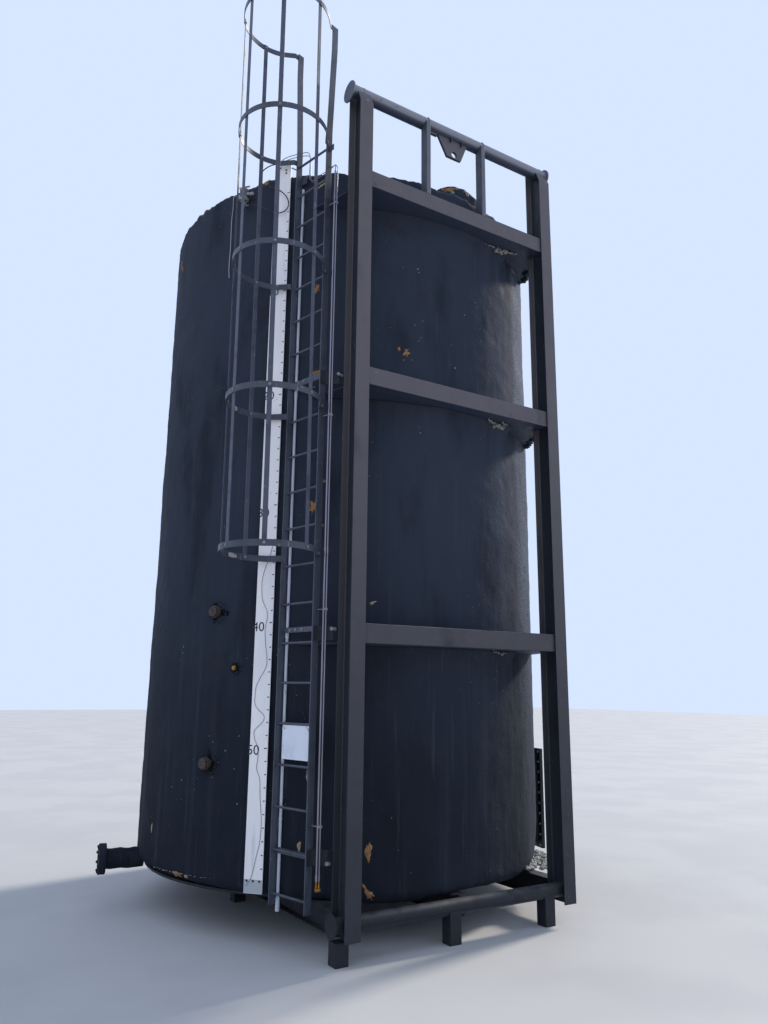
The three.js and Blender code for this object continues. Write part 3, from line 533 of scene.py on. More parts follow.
wall_rows = [LIP_Z + 0.02 + FINE_PITCH * k for k in range(6)]
wall_rows += [z for z in (wall_rows[-1] + ROW_PITCH * k for k in range(1, 170)) if z < SHOULDER_Z - 0.02]
wall_rows += [z - drop for z in PLATE_ZS for drop in (0.004, 0.022)]
profile = [(0, ROOF_CENTRE_Z - ROOF_THICK), (INNER_R - 0.04, ROOF_EDGE_Z - ROOF_THICK - 0.01),
           (INNER_R, 6.3), (INNER_R, 0.45), (INNER_R + 0.006, LIP_Z + 0.012), (INNER_R + 0.022, LIP_Z),
           (FOAM_R - 0.014, LIP_Z)]
profile += [(FOAM_R, z) for z in sorted(wall_rows)]
for step in range(EDGE_STEPS + 1):
    turn = math.radians(90 * step / EDGE_STEPS)
    profile.append((FOAM_R - EDGE_ROUND * (1 - math.cos(turn)), SHOULDER_Z + EDGE_ROUND * math.sin(turn)))
profile.append((0, ROOF_CENTRE_Z))

skin = bmesh.new()
roof_edge = chain(skin, [(r, 0, z) for r, z in profile])[-1]
bmesh.ops.subdivide_edges(skin, edges=[roof_edge], cuts=ROOF_CUTS)
spin_round(skin, (0, 0, 0), UP, SKIN_COLUMNS)
bmesh.ops.remove_doubles(skin, verts=skin.verts, dist=1e-5)
print("skin", len(skin.verts), "points,", len(wall_rows), "rows on the wall")

# %% Uneven foam
EDGE_HEIGHTS = (  # azimuth and height of the torn lower edge
    (-180, 0.34), (-110, 0.36), (-86, 0.374), (-71, 0.371), (-62, 0.359), (-52, 0.356), (-38, 0.332),
    (-23, 0.300), (-15, 0.295), (-5, 0.317), (7, 0.335), (22, 0.322), (33, 0.345), (47, 0.36), (62, 0.34),
    (180, 0.34))
SWELL_UNDER_PLATES = (  # azimuth and how far the foam stands out
    (-180, 0.0), (-46, 0.0), (-38, 0.02), (0, 0.03), (13, 0.045), (17, 0.07), (20.5, 0.125), (22.5, 0.02),
    (24, 0.0), (180, 0.0))
SKIRT_TALL, SKIRT_IN, SPRAY_DROP = 0.085, 0.034, 0.15


def between(table, deg):
    """The value at an azimuth, between measured places."""
    for (d0, v0), (d1, v1) in zip(table, table[1:]):
        if d0 <= deg <= d1:
            return v0 + (v1 - v0) * (deg - d0) / (d1 - d0)
    return table[0][1]


def bell(value, middle, half):
    """1 in the middle, falling smoothly to 0 at twice the half width."""
    x = min(abs(value - middle) / (2 * half), 1)
    return (1 - x * x) ** 2


def foam_swell(deg, z):
    """How far the foam stands out of its mean radius at a place on the wall."""
    place = spot(deg, FOAM_R, z)
    waves = 0.0055 * noise.noise(place * 1.1) + 0.004 * noise.noise(place * 3.3 + Vector((7, 1, 4)))
    small = 0.0035 * noise.noise(place * 9.5 + Vector((2, 8, 5))) + 0.0022 * noise.noise(place * 19)
    drops = [plate - z for plate in PLATE_ZS if plate >= z]
    under = max((max(0.0, 1 - drop / SPRAY_DROP) ** 2 for drop in drops), default=0.0)
    dent = 0.022 * bell(deg, 47, 10) * bell(z, 0.3, 0.2)
    foot = SKIRT_IN * max(0.0, 1 - (z - LIP_Z) / SKIRT_TALL) ** 2 + dent
    return waves + small - 0.002 - foot + (1 + 40 * small) * under * between(SWELL_UNDER_PLATES, deg)


def uneven(co):
    """Where a point of the spun skin goes when the foam is made uneven."""
    r, z = math.hypot(co.x, co.y), co.z
    if r < 1e-4:
        return co
    deg = math.degrees(math.atan2(co.x, -co.y))
    out = out_of(deg)
    outer = r > INNER_R + 0.01 or z > ROOF_EDGE_Z
    ragged = 0.010 * noise.noise(out * 9 + UP * 3) + 0.007 * noise.noise(out * 34)
    lift = (between(EDGE_HEIGHTS, deg) - LIP_Z + ragged) * max(0.0, 1 - (z - LIP_Z) / 1.3) ** 2
    swell = foam_swell(deg, z) * min(1.0, max(0.0, (r - INNER_R) / 0.05)) if outer else 0.0
    rim = bell(z, 6.43, 0.06) if r > 1.7 and outer else 0.0
    crest = 0.022 * noise.noise(out * 7 + Vector((5, 0, 0))) + 0.014 * noise.noise(out * 21)
    crest += 0.012 * noise.noise(out * 48) * rim
    lumps = 0.02 * noise.noise(co * 2.2) + 0.009 * noise.noise(co * 8)
    lumps *= max(0.0, min(1.0, (FOAM_R - r) / 0.3)) if z > ROOF_EDGE_Z - 0.005 and outer else 0.0
    return out * (r + swell + 0.35 * crest * rim) + UP * (z + lift + crest * rim + lumps)


for v in skin.verts:
    v.co = uneven(v.co)
WALL_SEGMENTS = [f"wall_segment_{number}" for number in range(1, 9)]
piece(skin, "foam_skin", foam_coat, "foam", "roof", *WALL_SEGMENTS, sharp=SOFT)

# %% [markdown]
# The hatch is foamed over: a low drum with soft shoulders, higher at its left and sloping down to the right.

# %% The hatch lump
HATCH = Vector((0.335, -1.44, 0))
HATCH_R, HATCH_FOOT, HATCH_TOP, HATCH_SLOPE = 0.30, 6.42, 6.735, 0.20
HATCH_PROFILE = ((0.0, HATCH_FOOT), (HATCH_R + 0.02, HATCH_FOOT), (HATCH_R + 0.012, HATCH_TOP - 0.2),
                 (HATCH_R, HATCH_TOP - 0.115), (HATCH_R - 0.03, HATCH_TOP - 0.058),
                 (HATCH_R - 0.1, HATCH_TOP - 0.016), (HATCH_R - 0.19, HATCH_TOP), (0.0, HATCH_TOP))


def slumped(co):
    """Where a point of the spun hatch goes when it slopes and turns lumpy."""
    raised = max(0.0, co.z - 6.5) / 0.24
    moved = co - UP * (HATCH_SLOPE * raised * max(-0.12, co.x - HATCH.x))
    return moved + noise.noise_vector(moved * 6) * 0.016 + noise.noise_vector(moved * 17) * 0.009


hatch = bmesh.new()
hatch_edges = chain(hatch, [HATCH + Vector((r, 0, z)) for r, z in HATCH_PROFILE])
bmesh.ops.subdivide_edges(hatch, edges=hatch_edges[1:], cuts=4)
spin_round(hatch, HATCH, UP, 72)
bmesh.ops.remove_doubles(hatch, verts=hatch.verts, dist=1e-5)
for v in hatch.verts:
    v.co = slumped(v.co)
piece(hatch, "roof_hatch_foam", hatch_coat, "roof", "roof_hatch", sharp=SOFT)

# %% [markdown]
# ## Places where the coat is broken
# Each chip is a shallow, ragged flake of bare foam. Masks in the wall's finish could paint them, but a
# flake with its own relief keeps a crisp edge at any distance. Its points go through the same unevenness
# as the skin's own, so it lies on whatever the skin does there. Casting each point onto the skin would do
# the same, only slower.

# %% Flakes laid on the skin
def on_wall(deg, z, height=0.0):
    low = z
    for _ in range(2):
        low -= uneven(spot(deg, FOAM_R, low)).z - z
    return uneven(spot(deg, FOAM_R + height, low))


def on_shoulder(deg, z, height=0.0):
    rise = max(0.0, min(0.98, (z - SHOULDER_Z) / EDGE_ROUND))
    r = FOAM_R - EDGE_ROUND * (1 - math.sqrt(1 - rise * rise))
    return uneven(spot(deg, r, z)) + (out_of(deg) + UP * rise) * height


def on_hatch(deg, z, height=0.0):
    inward = 0.03 * max(0.0, min(1.0, (z - HATCH_TOP + 0.115) / 0.057))
    return slumped(HATCH + spot(deg, HATCH_R - inward + height + 0.002, z))


def add_flake(bm, lay, deg, z, width, tall, lean=0.0, thick=0.004):
    """A ragged flake: a closed lens with an uneven outline, laid on the skin with its rim just inside it."""
    seed = Vector((deg, z * 9, width * 40))
    radius = HATCH_R if lay == on_hatch else FOAM_R
    flake = bmesh.new()
    bmesh.ops.create_uvsphere(flake, u_segments=20, v_segments=10, radius=1)
    for v in flake.verts:
        flat = Vector((v.co.x, v.co.y, 0))
        way = flat.normalized()
        ragged = 1 + 0.9 * noise.noise(seed + way * 1.6) + 0.8 * noise.noise(seed + way * 4)
        height = thick * (1.0 - 2.0 * flat.length ** 4) + 0.0012 * noise.noise(seed + flat * 6)
        height = height if v.co.z > -0.01 else -thick - 0.006 * (1 - flat.length)
        s, t = v.co.x * ragged * width / 2, v.co.y * ragged * tall / 2
        v.co = lay(deg + math.degrees(s / radius), z + t + s * lean, height)
    pour(bm, flake)


def wall_flakes(name, finish, chips, *others):
    bm = bmesh.new()
    for chip in chips:
        add_flake(bm, on_wall, *chip)
    for other in others:
        add_flake(bm, *other)
    piece(bm, name, finish, "foam", sharp=CRUMPLED)


# %% Chips and flecks
WALL_CHIPS_ORANGE = (  # azimuth, height, width, tall, lean
    (-16.2, 4.751, 0.042, 0.050, 0), (-14.2, 4.727, 0.064, 0.074, 0.5), (-14.9, 4.655, 0.018, 0.018, 0),
    (-22.6, 0.671, 0.060, 0.140, 0.1), (-22.6, 0.389, 0.085, 0.070, -0.6), (-37.5, 3.324, 0.080, 0.110, 0.4),
    (-38.4, 5.290, 0.052, 0.100, 0.4), (-37.8, 4.495, 0.120, 0.075, 0.0), (-38.8, 6.086, 0.060, 0.028, 0.2),
    (-34.8, 3.540, 0.030, 0.022, 0), (-35.0, 3.169, 0.026, 0.020, 0), (-39.8, 4.440, 0.045, 0.026, 0.3),
    (-38.4, 4.369, 0.026, 0.020, 0), (-72.6, 0.402, 0.100, 0.040, 0.1), (-97.0, 6.10, 0.030, 0.110, 0),
    (-95.0, 6.02, 0.026, 0.070, 0.2))
WALL_CHIPS_YELLOW = (
    (-22.5, 2.539, 0.060, 0.028, 0.3), (-38.5, 0.693, 0.028, 0.105, 0.1), (-69.6, 0.398, 0.050, 0.026, 0.0),
    (-74.0, 0.415, 0.040, 0.022, 0.0), (-37.9, 6.305, 0.120, 0.026, 0.7), (-38.0, 6.340, 0.110, 0.018, 0.7),
    (-86.8, 0.694, 0.020, 0.085, 0.0), (-12.7, 4.666, 0.016, 0.012, 0), (-22.0, 0.378, 0.030, 0.022, 0))
WALL_FLECKS = (  # azimuth, height, width in mm
    (-11.0, 5.548, 18), (-10.7, 5.516, 15), (-15.3, 5.54, 9), (-9.5, 5.053, 15), (-11.8, 5.0, 15),
    (-10.1, 4.887, 12), (-10.7, 4.855, 12), (8.3, 5.39, 16), (9.1, 5.348, 13), (4.3, 5.226, 14),
    (10.3, 5.149, 12), (10.6, 5.032, 12), (0.7, 4.677, 22), (14.5, 4.803, 12), (-10.5, 4.062, 14),
    (-10.2, 4.01, 16), (-0.4, 4.889, 9), (-5.2, 5.131, 9), (-75.9, 2.147, 14), (-75.6, 2.198, 12),
    (-76.7, 2.089, 12), (-62.5, 1.436, 12), (-63.6, 1.481, 10), (-72.8, 1.122, 14), (-77.0, 1.055, 11),
    (-58.4, 1.373, 13), (-55.5, 1.241, 13), (-57.2, 2.01, 10), (-54.6, 1.491, 14), (-54.2, 0.984, 15),
    (-62.0, 1.165, 12), (-60.5, 1.28, 10), (7.9, 5.42, 12), (8.8, 5.40, 14), (9.4, 5.37, 10))
PALE_SLIT = (-37.15, 1.20, 0.020, 0.115, 0.2, 0.004)

wall_flakes("foam_chips_orange", foam_orange, WALL_CHIPS_ORANGE,
            (on_shoulder, -55.1, 6.41, 0.085, 0.060, 0.1, 0.008), (on_hatch, -40, 6.64, 0.10, 0.05, -0.2),
            (on_hatch, -26, 6.66, 0.05, 0.04), (on_hatch, -52, 6.67, 0.05, 0.03))
wall_flakes("foam_chips_yellow", foam_yellow, WALL_CHIPS_YELLOW,
            (on_shoulder, -77.0, 6.43, 0.070, 0.030, 0.2), (on_shoulder, -79.5, 6.42, 0.040, 0.020, 0.2),
            (on_hatch, -4, 6.60, 0.06, 0.05, 0.3))
flecks = [(deg, z, size * MM, size * 0.8 * MM, 0.2, 0.003) for deg, z, size in WALL_FLECKS]
wall_flakes("foam_flecks", foam_pale, flecks + [PALE_SLIT],
            (on_hatch, -34, 6.60, 0.05, 0.03), (on_hatch, -8, 6.63, 0.035, 0.05),
            (on_shoulder, -54.0, 6.43, 0.05, 0.02), (on_shoulder, -81.0, 6.41, 0.03, 0.015))

# %% [markdown]
# At the lower edge and under the plates' right ends the foam has torn to pale fibres. They are small lumps
# in rows along each torn line, flattened and crumpled, and one thicker flap hangs out at the right foot.

# %% Torn fibres
TORN_LINES = (  # places from and to, lumps, size
    ((0.425, -1.895, 6.045), (0.549, -1.862, 6.043), 14, 0.012),
    ((0.535, -1.868, 6.040), (0.690, -1.868, 6.040), 26, 0.020),
    ((0.640, -1.885, 6.046), (0.790, -1.885, 6.046), 18, 0.014),
    ((0.378, -1.910, 4.250), (0.510, -1.868, 4.246), 16, 0.014),
    ((0.490, -1.872, 4.240), (0.600, -1.850, 4.236), 22, 0.022),
    ((0.540, -1.915, 4.250), (0.610, -1.890, 4.250), 8, 0.014))
ROUND_LINES = (  # azimuth, radius and height from and to, lumps, size
    ((11.3, 1.936, 2.186), (16.5, 1.950, 2.166), 16, 0.014),
    ((-84.3, 1.892, 0.404), (-60.5, 1.886, 0.421), 44, 0.007),
    ((30.0, 1.880, 0.360), (56.0, 1.905, 0.345), 46, 0.034),
    ((37.0, 1.950, 0.335), (52.0, 1.965, 0.335), 26, 0.036),
    ((39.0, 1.985, 0.300), (47.0, 1.985, 0.300), 10, 0.026))
LUMP_FLAT, ROUND_STEP = 0.55, 5


def lumps_along(bm, start, end, count, size):
    """Crumpled lumps in a row between two places, each flatter than it is wide."""
    for k in range(count):
        jitter = noise.noise_vector(Vector((k * 1.7, size * 99, start.z))) * size * 1.6
        grown = size * (0.45 + 0.9 * abs(noise.noise(Vector((k * 2.3, start.x * 7, 5)))))
        place = start.lerp(end, (k + 0.5) / count) + jitter
        for v in bmesh.ops.create_icosphere(bm, subdivisions=2, radius=grown)["verts"]:
            way = v.co / grown
            v.co *= 1 + 0.7 * noise.noise(place * 40 + way * 1.3) + 0.25 * noise.noise(place * 9 + way * 4)
            v.co.z *= LUMP_FLAT
            v.co += place


fibres = bmesh.new()
for start, end, count, size in TORN_LINES:
    lumps_along(fibres, Vector(start), Vector(end), count, size)
for start, end, count, size in ROUND_LINES:
    steps = max(1, round(abs(end[0] - start[0]) / ROUND_STEP))
    stops = [spot(*(a + (b - a) * (k / steps) for a, b in zip(start, end))) for k in range(steps + 1)]
    for pair in zip(stops, stops[1:]):
        lumps_along(fibres, *pair, math.ceil(count / steps), size)
piece(fibres, "foam_torn_fibres", foam_pale, "foam", sharp=CRUMPLED)

# %% Dark foam on the plates' right ends
PLATE_END_ROWS = (  # from and to, with heights over the plate's middle, and lumps
    ((1.235, -1.450, 0.008), (1.115, -1.700, 0.008), 26),
    ((1.235, -1.450, 0.050), (1.150, -1.630, 0.040), 14))
DARK_LUMP = 0.034
dark_lumps = bmesh.new()
for z in PLATE_ZS[:2]:
    for start, end, count in PLATE_END_ROWS:
        lumps_along(dark_lumps, Vector(start) + UP * z, Vector(end) + UP * z, count, DARK_LUMP)
piece(dark_lumps, "foam_on_plate_ends", hatch_coat, "foam", sharp=SOFT)

# %% [markdown]
# ## The skid frame's paint
# The frame is rolled steel with thin black paint. Its front is painted a lighter brown-grey, most of all high
# up, partly weathering and dust and partly painted light for the glow of the sunlit ground in front; its upper
# sides are dusty, and its undersides are painted dark blue-grey as painted shade. Scuffs and small rust specks
# lie over it all. Facing and height steer the weathering and the painted light.

# %% Frame paint
def frame_finish(name, code, front_weather_and_light, rust=0.5, dust=0.7):
    paint = Finish(name, code, 0.55, specular=0.35)
    paint.blotch("1d2025", 0.5, (0.5, 0.75), 2.2, 5)
    # partly weathering and dust, partly painted light: front faces painted lighter brown-grey, more so high up,
    # for the glow of the sunlit ground in front
    weathered_and_lit_front = paint.both(paint.mask(paint.facing[1], -0.45, -0.85),
                           paint.patches((0.1, 0.45), 3.0, 4, 5, 0.5), paint.mask(paint.z, -0.3, 5.0))
    paint.paint(front_weather_and_light, weathered_and_lit_front, 0.9)
    dust_and_painted_light = paint.both(paint.mask(paint.facing[2], 0.3, 0.8), paint.patches((0.3, 0.6), 9, 4, 15))
    paint.paint("85817f", dust_and_painted_light, dust)
    paint.blotch("77736f", 0.45, (0.66, 0.73), 34, 5, 3, 0.5)
    paint.blotch("4f3a2e", rust, (0.64, 0.72), 16, 6, 8)
    specks = paint.both(paint.mask(paint.cells(42, 2), 0.14, 0.07), paint.patches((0.5, 0.6), 3, 2, 4))
    paint.paint("33231a", specks, 0.7)
    # painted shade: downward faces are painted dark blue-grey, like the wall in shade
    paint.paint("353e52", paint.mask(paint.facing[2], -0.4, -0.8), 0.85)
    paint.rub(0.68, paint.patches((0.45, 0.65), 7, 4, 6))
    paint.rub(0.42, paint.patches((0.62, 0.72), 5, 3, 16, 0.2))
    paint.raise_by(0.0006, paint.noise(28, 4, 1))
    paint.raise_by(0.0002, paint.noise(220, 2, 2))
    return paint.done()


steel_paint = frame_finish("frame_paint", "292d34", "635d5e")
pipe_paint = frame_finish("pipe_paint", "5a5e68", "8b8b90", 0.4)
post_paint = frame_finish("post_paint", "40454f", "6b6b71", 0.4)
dark_steel = frame_finish("dark_steel", "1c2026", "292c32", 0.35, 0.15)

# %% [markdown]
# ## The skid rails
# Each rail is a wide-flange section with its flanges facing forwards and back, and its front flange folds
# back into a nose at the top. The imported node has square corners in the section's roots, so the section is
# drawn once as a face, its corners are rounded, and it is extruded in two steps, the second one leaning.

# %% Two rails
RAIL_X, RAIL_DEPTH, RAIL_WIDTH, FLANGE, WEB = 1.033, 0.200, 0.130, 0.010, 0.008
RAIL_FRONT_Y, RAIL_FOOT_Z, NOSE_FOLD_Z, NOSE_TOP_Z, NOSE_RUN = -2.058, 0.155, 6.846, 7.040, 0.080
ROOT_ROUND, TOE_ROUND = 0.012, 0.0025


def grow(bm, faces):
    """Extrudes faces, takes out what then lies inside, and gives the new end faces."""
    inside = [f for f in faces if all(len(e.link_faces) > 1 for e in f.edges)]
    made = bmesh.ops.extrude_face_region(bm, geom=faces)["geom"]
    bmesh.ops.delete(bm, geom=inside, context="FACES_ONLY")
    return [f for f in made if isinstance(f, bmesh.types.BMFace)]


def rail(name, x):
    bm = bmesh.new()
    toe, web, far = RAIL_WIDTH / 2, WEB / 2, RAIL_DEPTH
    half = ((toe, 0), (toe, FLANGE), (web, FLANGE), (web, far - FLANGE), (toe, far - FLANGE), (toe, far))
    outline = ((-toe, 0), *half, *((-a, b) for a, b in half[:0:-1]))
    corners = [bm.verts.new((x + a, RAIL_FRONT_Y + b, RAIL_FOOT_Z)) for a, b in outline]
    bm.faces.new(corners)
    for wanted, size in ((web, ROOT_ROUND), (toe, TOE_ROUND)):
        chosen = [v for v in corners if v.is_valid and abs(abs(v.co.x - x) - wanted) < 1e-6]
        bevel(bm, chosen, size, 3, "VERTICES")
    top = bm.faces[:]
    for height, shift in ((NOSE_FOLD_Z - RAIL_FOOT_Z, 0.0), (NOSE_TOP_Z - NOSE_FOLD_Z, NOSE_RUN)):
        top = grow(bm, top)
        for v in {v for f in top for v in f.verts}:
            v.co.z += height
            if v.co.y < RAIL_FRONT_Y + RAIL_DEPTH / 2:
                v.co.y += shift
    round_edges(bm, 0.0015, 1, lambda edge: min(v.co.z for v in edge.verts) > NOSE_TOP_Z - 0.001)
    piece(bm, name + "_section", steel_paint, "steel", name)


rail("skid_rail_left", -RAIL_X)
rail("skid_rail_right", RAIL_X)

# %% [markdown]
# ## Cross pipes, crossbars and the head frame
# A pipe with end discs runs through both rails at the top and at the foot, and three hollow bars lie
# between the rails, each with a saddle plate that reaches back to the foam. Two posts stand on the top
# bar, and a lifting plate with a hole hangs under the top pipe. Pipes are spun round, so they are made
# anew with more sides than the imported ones; the bars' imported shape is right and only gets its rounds.

# %% Pipes with discs and weld beads
PIPE_Y, TOP_PIPE_Z, BOTTOM_PIPE_Z, PIPE_R, PIPE_LEFT, PIPE_RIGHT = -1.958, 6.981, 0.256, 0.057, -1.15, 1.10
DISC_THICK, BEAD = 0.010, 0.005
ALONG_X = Vector((1, 0, 0))


def cross_pipe(name, z, disc_radius, disc_drop, finish, stands_for):
    bm = bmesh.new()
    add_rod(bm, (PIPE_LEFT, PIPE_Y, z), (PIPE_RIGHT, PIPE_Y, z), PIPE_R, 48)
    for x, sign in ((PIPE_LEFT, -1), (PIPE_RIGHT, 1)):
        add_rod(bm, (x - sign * 0.001, PIPE_Y, z - disc_drop), (x + sign * DISC_THICK, PIPE_Y, z - disc_drop),
                disc_radius, 56, 0.002)
        add_ring(bm, (x, PIPE_Y, z), ALONG_X, PIPE_R, BEAD)
    for x in (-RAIL_X - WEB / 2, -RAIL_X + WEB / 2, RAIL_X - WEB / 2, RAIL_X + WEB / 2):
        add_ring(bm, (x, PIPE_Y, z), ALONG_X, PIPE_R - 0.002, BEAD)
    piece(bm, name, finish, "steel", stands_for)


cross_pipe("top_pipe", TOP_PIPE_Z, 0.095, 0.022, pipe_paint, "top_pipe_with_padeye")
cross_pipe("bottom_pipe_tube", BOTTOM_PIPE_Z, 0.083, 0.0, dark_steel, "bottom_pipe")

# %% The lifting plate
PADEYE_TOP_XS, PADEYE_FOOT_XS, PADEYE_Z0, PADEYE_THICK = (-0.232, 0.140), (-0.107, 0.053), 6.738, 0.025
PADEYE_HOLE_X, PADEYE_HOLE_Z, PADEYE_HOLE_R = -0.026, 6.780, 0.030
RIB_XS, RIB_HALF, RIB_REACH, RIB_ZS = (-0.072, 0.050), 0.003, 0.04, (TOP_PIPE_Z - 0.092, TOP_PIPE_Z - 0.03)
GUSSET_XS, GUSSET_HALF, GUSSET_ZS = (-0.335, -0.222), 0.012, (TOP_PIPE_Z - 0.078, TOP_PIPE_Z - 0.045)
FRONT_Y = PIPE_Y - PADEYE_THICK / 2
STANDING = Matrix.Rotation(math.pi / 2, 4, "X")


def shift_new(bm, made, way):
    """Moves the points that an extrusion made."""
    bmesh.ops.translate(bm, verts=[g for g in made if isinstance(g, bmesh.types.BMVert)], vec=way)


eye = bmesh.new()
corners = [(PADEYE_TOP_XS[0], TOP_PIPE_Z - 0.02), (PADEYE_FOOT_XS[0], PADEYE_Z0),
           (PADEYE_FOOT_XS[1], PADEYE_Z0), (PADEYE_TOP_XS[1], TOP_PIPE_Z - 0.02)]
border = chain(eye, [(x, FRONT_Y, z) for x, z in corners])
border.append(eye.edges.new((border[-1].verts[1], border[0].verts[0])))
hole_place = Matrix.Translation((PADEYE_HOLE_X, FRONT_Y, PADEYE_HOLE_Z)) @ STANDING
hole = bmesh.ops.create_circle(eye, segments=28, radius=PADEYE_HOLE_R, matrix=hole_place)["verts"]
border += list({e for v in hole for e in v.link_edges})
bmesh.ops.triangle_fill(eye, use_beauty=True, use_dissolve=False, edges=border)
made = bmesh.ops.extrude_face_region(eye, geom=eye.faces[:])["geom"]
shift_new(eye, made, (0, PADEYE_THICK, 0))
bmesh.ops.recalc_face_normals(eye, faces=eye.faces)
round_edges(eye, 0.002, 2)
ribs = [((x - RIB_HALF, x + RIB_HALF), RIB_REACH, RIB_ZS, 0.001) for x in RIB_XS]
for xs, reach, zs, width in (*ribs, (GUSSET_XS, GUSSET_HALF, GUSSET_ZS, 0.002)):
    add_box(eye, (xs[0], PIPE_Y - reach, zs[0]), (xs[1], PIPE_Y + reach, zs[1]), width)
piece(eye, "padeye_plate", steel_paint, "steel")

# %% Crossbars and head posts
for name in ("crossbar_top", "crossbar_middle", "crossbar_low"):
    dressed(name, steel_paint, "steel", long_width=0.006)
POST_XS, POST_WIDTH, POST_DEPTH, POST_FRONT_Y, POST_FOOT_Z = (-0.363, 0.273), 0.045, 0.092, -2.036, 6.2083
for name, x in zip(("head_post_left", "head_post_right"), POST_XS):
    post = bmesh.new()
    sides, back_y = (x - POST_WIDTH / 2, x + POST_WIDTH / 2), POST_FRONT_Y + POST_DEPTH
    add_box(post, (sides[0], POST_FRONT_Y, POST_FOOT_Z), (sides[1], back_y, TOP_PIPE_Z - 0.02), 0.005, 3)
    add_ring(post, (sides[1], PIPE_Y, TOP_PIPE_Z), ALONG_X, PIPE_R, 0.007)
    for side in sides:
        add_rod(post, (side, POST_FRONT_Y + 0.004, POST_FOOT_Z), (side, back_y - 0.004, POST_FOOT_Z), BEAD, 8)
    piece(post, name + "_tube", post_paint, "steel", name)

# %% Weld beads where the bars meet the rails' webs
BAR_CENTRES_Z, BAR_HEIGHT, BAR_FRONT_Y, BAR_DEPTH = (6.133, 4.338, 2.274), 0.150, -2.038, 0.075
beads = bmesh.new()
for z in BAR_CENTRES_Z:
    for x in (-(RAIL_X - WEB / 2), RAIL_X - WEB / 2):
        for y in (BAR_FRONT_Y, BAR_FRONT_Y + BAR_DEPTH):
            add_rod(beads, (x, y, z - BAR_HEIGHT / 2), (x, y, z + BAR_HEIGHT / 2), BEAD, 8)
for v in beads.verts:
    v.co += noise.noise_vector(v.co * 120) * 0.0012
piece(beads, "crossbar_welds", steel_paint, "steel")

# %% [markdown]
# ## The base
# Beams under the floor and stub legs carry the tank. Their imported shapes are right, so bevelled copies with
# the darker paint stand for them.

# %% Base beams, legs and floor
for name in ("base_beam_left", "base_beam_middle", "base_beam_right", "stub_leg_left", "stub_leg_middle",
             "stub_leg_right", "floor"):
    dressed(name, dark_steel, "dark", 0.002)

# %% [markdown]
# ## The ladder and its cage
# The ladder has flat-bar rails that spread above the roof, round rungs and five flat hoops with five upright
# bars. The whole cage leans a little away from the tank. Everything is laid out in the ladder's own
# directions, u along the rungs, v away from the tank, and one matrix stands it up. Hoops could be cut from
# discs, but a point spun into an arc, drawn up into a band and given thickness is how a bar is bent.

# %% Paint of the cage
def cage_finish(name, code, pale):
    blotches = [("2a2d35", 0.6, (0.48, 0.7), 5, 5), (pale, 0.6, (0.63, 0.72), 40, 4, 3, 0.3),
                ("5a3f2e", 0.6, (0.68, 0.75), 24, 5, 9)]
    return noisy_finish(name, code, 0.45, blotches, (0.0004, 60, 4, 1), (0.65, (0.5, 0.7), 12, 4, 6),
                        metallic=0.15)


cage_paint = cage_finish("cage_paint", "4b4e5b", "7c7f88")
ladder_paint = cage_finish("ladder_paint", "4a4f5a", "74777e")
hoop_paint = cage_finish("hoop_paint", "454952", "8d8f92")

# %% The ladder's directions
LADDER_LEFT, LADDER_RIGHT = Vector((-1.342, -1.386, 0)), Vector((-1.247, -1.778, 0))
ladder_mid = (LADDER_LEFT + LADDER_RIGHT) / 2
along_u = (LADDER_RIGHT - LADDER_LEFT).normalized()
along_v = Vector((along_u.y, -along_u.x, 0))
half_span = (LADDER_RIGHT - LADDER_LEFT).length / 2
ladder_place = Matrix((along_u, along_v, UP)).transposed().to_4x4()
ladder_place.translation = ladder_mid
CAGE_LEAN, LEAN_PIVOT_Z = 0.0085, 5.285
lean = Matrix(((1, 0, 0, 0), (0, 1, CAGE_LEAN, -CAGE_LEAN * LEAN_PIVOT_Z), (0, 0, 1, 0), (0, 0, 0, 1)))
print("ladder", round(2 * half_span, 3), "m wide")


def placed(bm, matrix):
    bmesh.ops.transform(bm, matrix=matrix, verts=bm.verts)
    return bm


def stand(bm, leaning=False):
    """Moves a bmesh from the ladder's directions to its place on the tank."""
    return placed(bm, ladder_place @ lean if leaning else ladder_place)


# %% Ladder rails and rungs
LADDER_Z0, LADDER_Z1, LADDER_BAR, LADDER_THICK = 0.300, 7.695, 0.063, 0.010
FLARE_Z, FLARE = (6.65, 7.45), 0.038
RUNG_Z0, RUNG_PITCH, RUNG_COUNT, RUNG_R = 0.380, 0.3048, 21, 0.010
LADDER_FLAT_ZS, LADDER_FLAT_V = (0.680, 2.310, 4.380), -0.020
WELD_IN, WELD_OUT, WELD_SWELL, FLAT_THICK, FLAT_HALF = 0.006, 0.002, 0.005, 0.008, 0.020
ladder = bmesh.new()
for side in (-1, 1):
    section = Matrix.Diagonal((LADDER_THICK, LADDER_BAR, 1, 1))
    made = bmesh.ops.create_grid(ladder, x_segments=1, y_segments=1, size=0.5,
                                 matrix=Matrix.Translation((side * half_span, 0, LADDER_Z0)) @ section)
    top = list({f for v in made["verts"] for f in v.link_faces})
    for z, spread in ((FLARE_Z[0], 0), (FLARE_Z[1], side * FLARE), (LADDER_Z1, 0)):
        top = grow(ladder, top)
        for v in {v for f in top for v in f.verts}:
            v.co.z = z
            v.co.x += spread
bmesh.ops.recalc_face_normals(ladder, faces=ladder.faces)
round_edges(ladder, 0.002, 2, angle=math.radians(60))
for i in range(RUNG_COUNT):
    z = RUNG_Z0 + i * RUNG_PITCH
    add_rod(ladder, (-half_span, 0, z), (half_span, 0, z), RUNG_R)
    for side in (-1, 1):
        inner = side * (half_span - LADDER_THICK / 2)
        add_rod(ladder, (inner - side * WELD_IN, 0, z), (inner + side * WELD_OUT, 0, z), RUNG_R,
                end_radius=RUNG_R + WELD_SWELL)
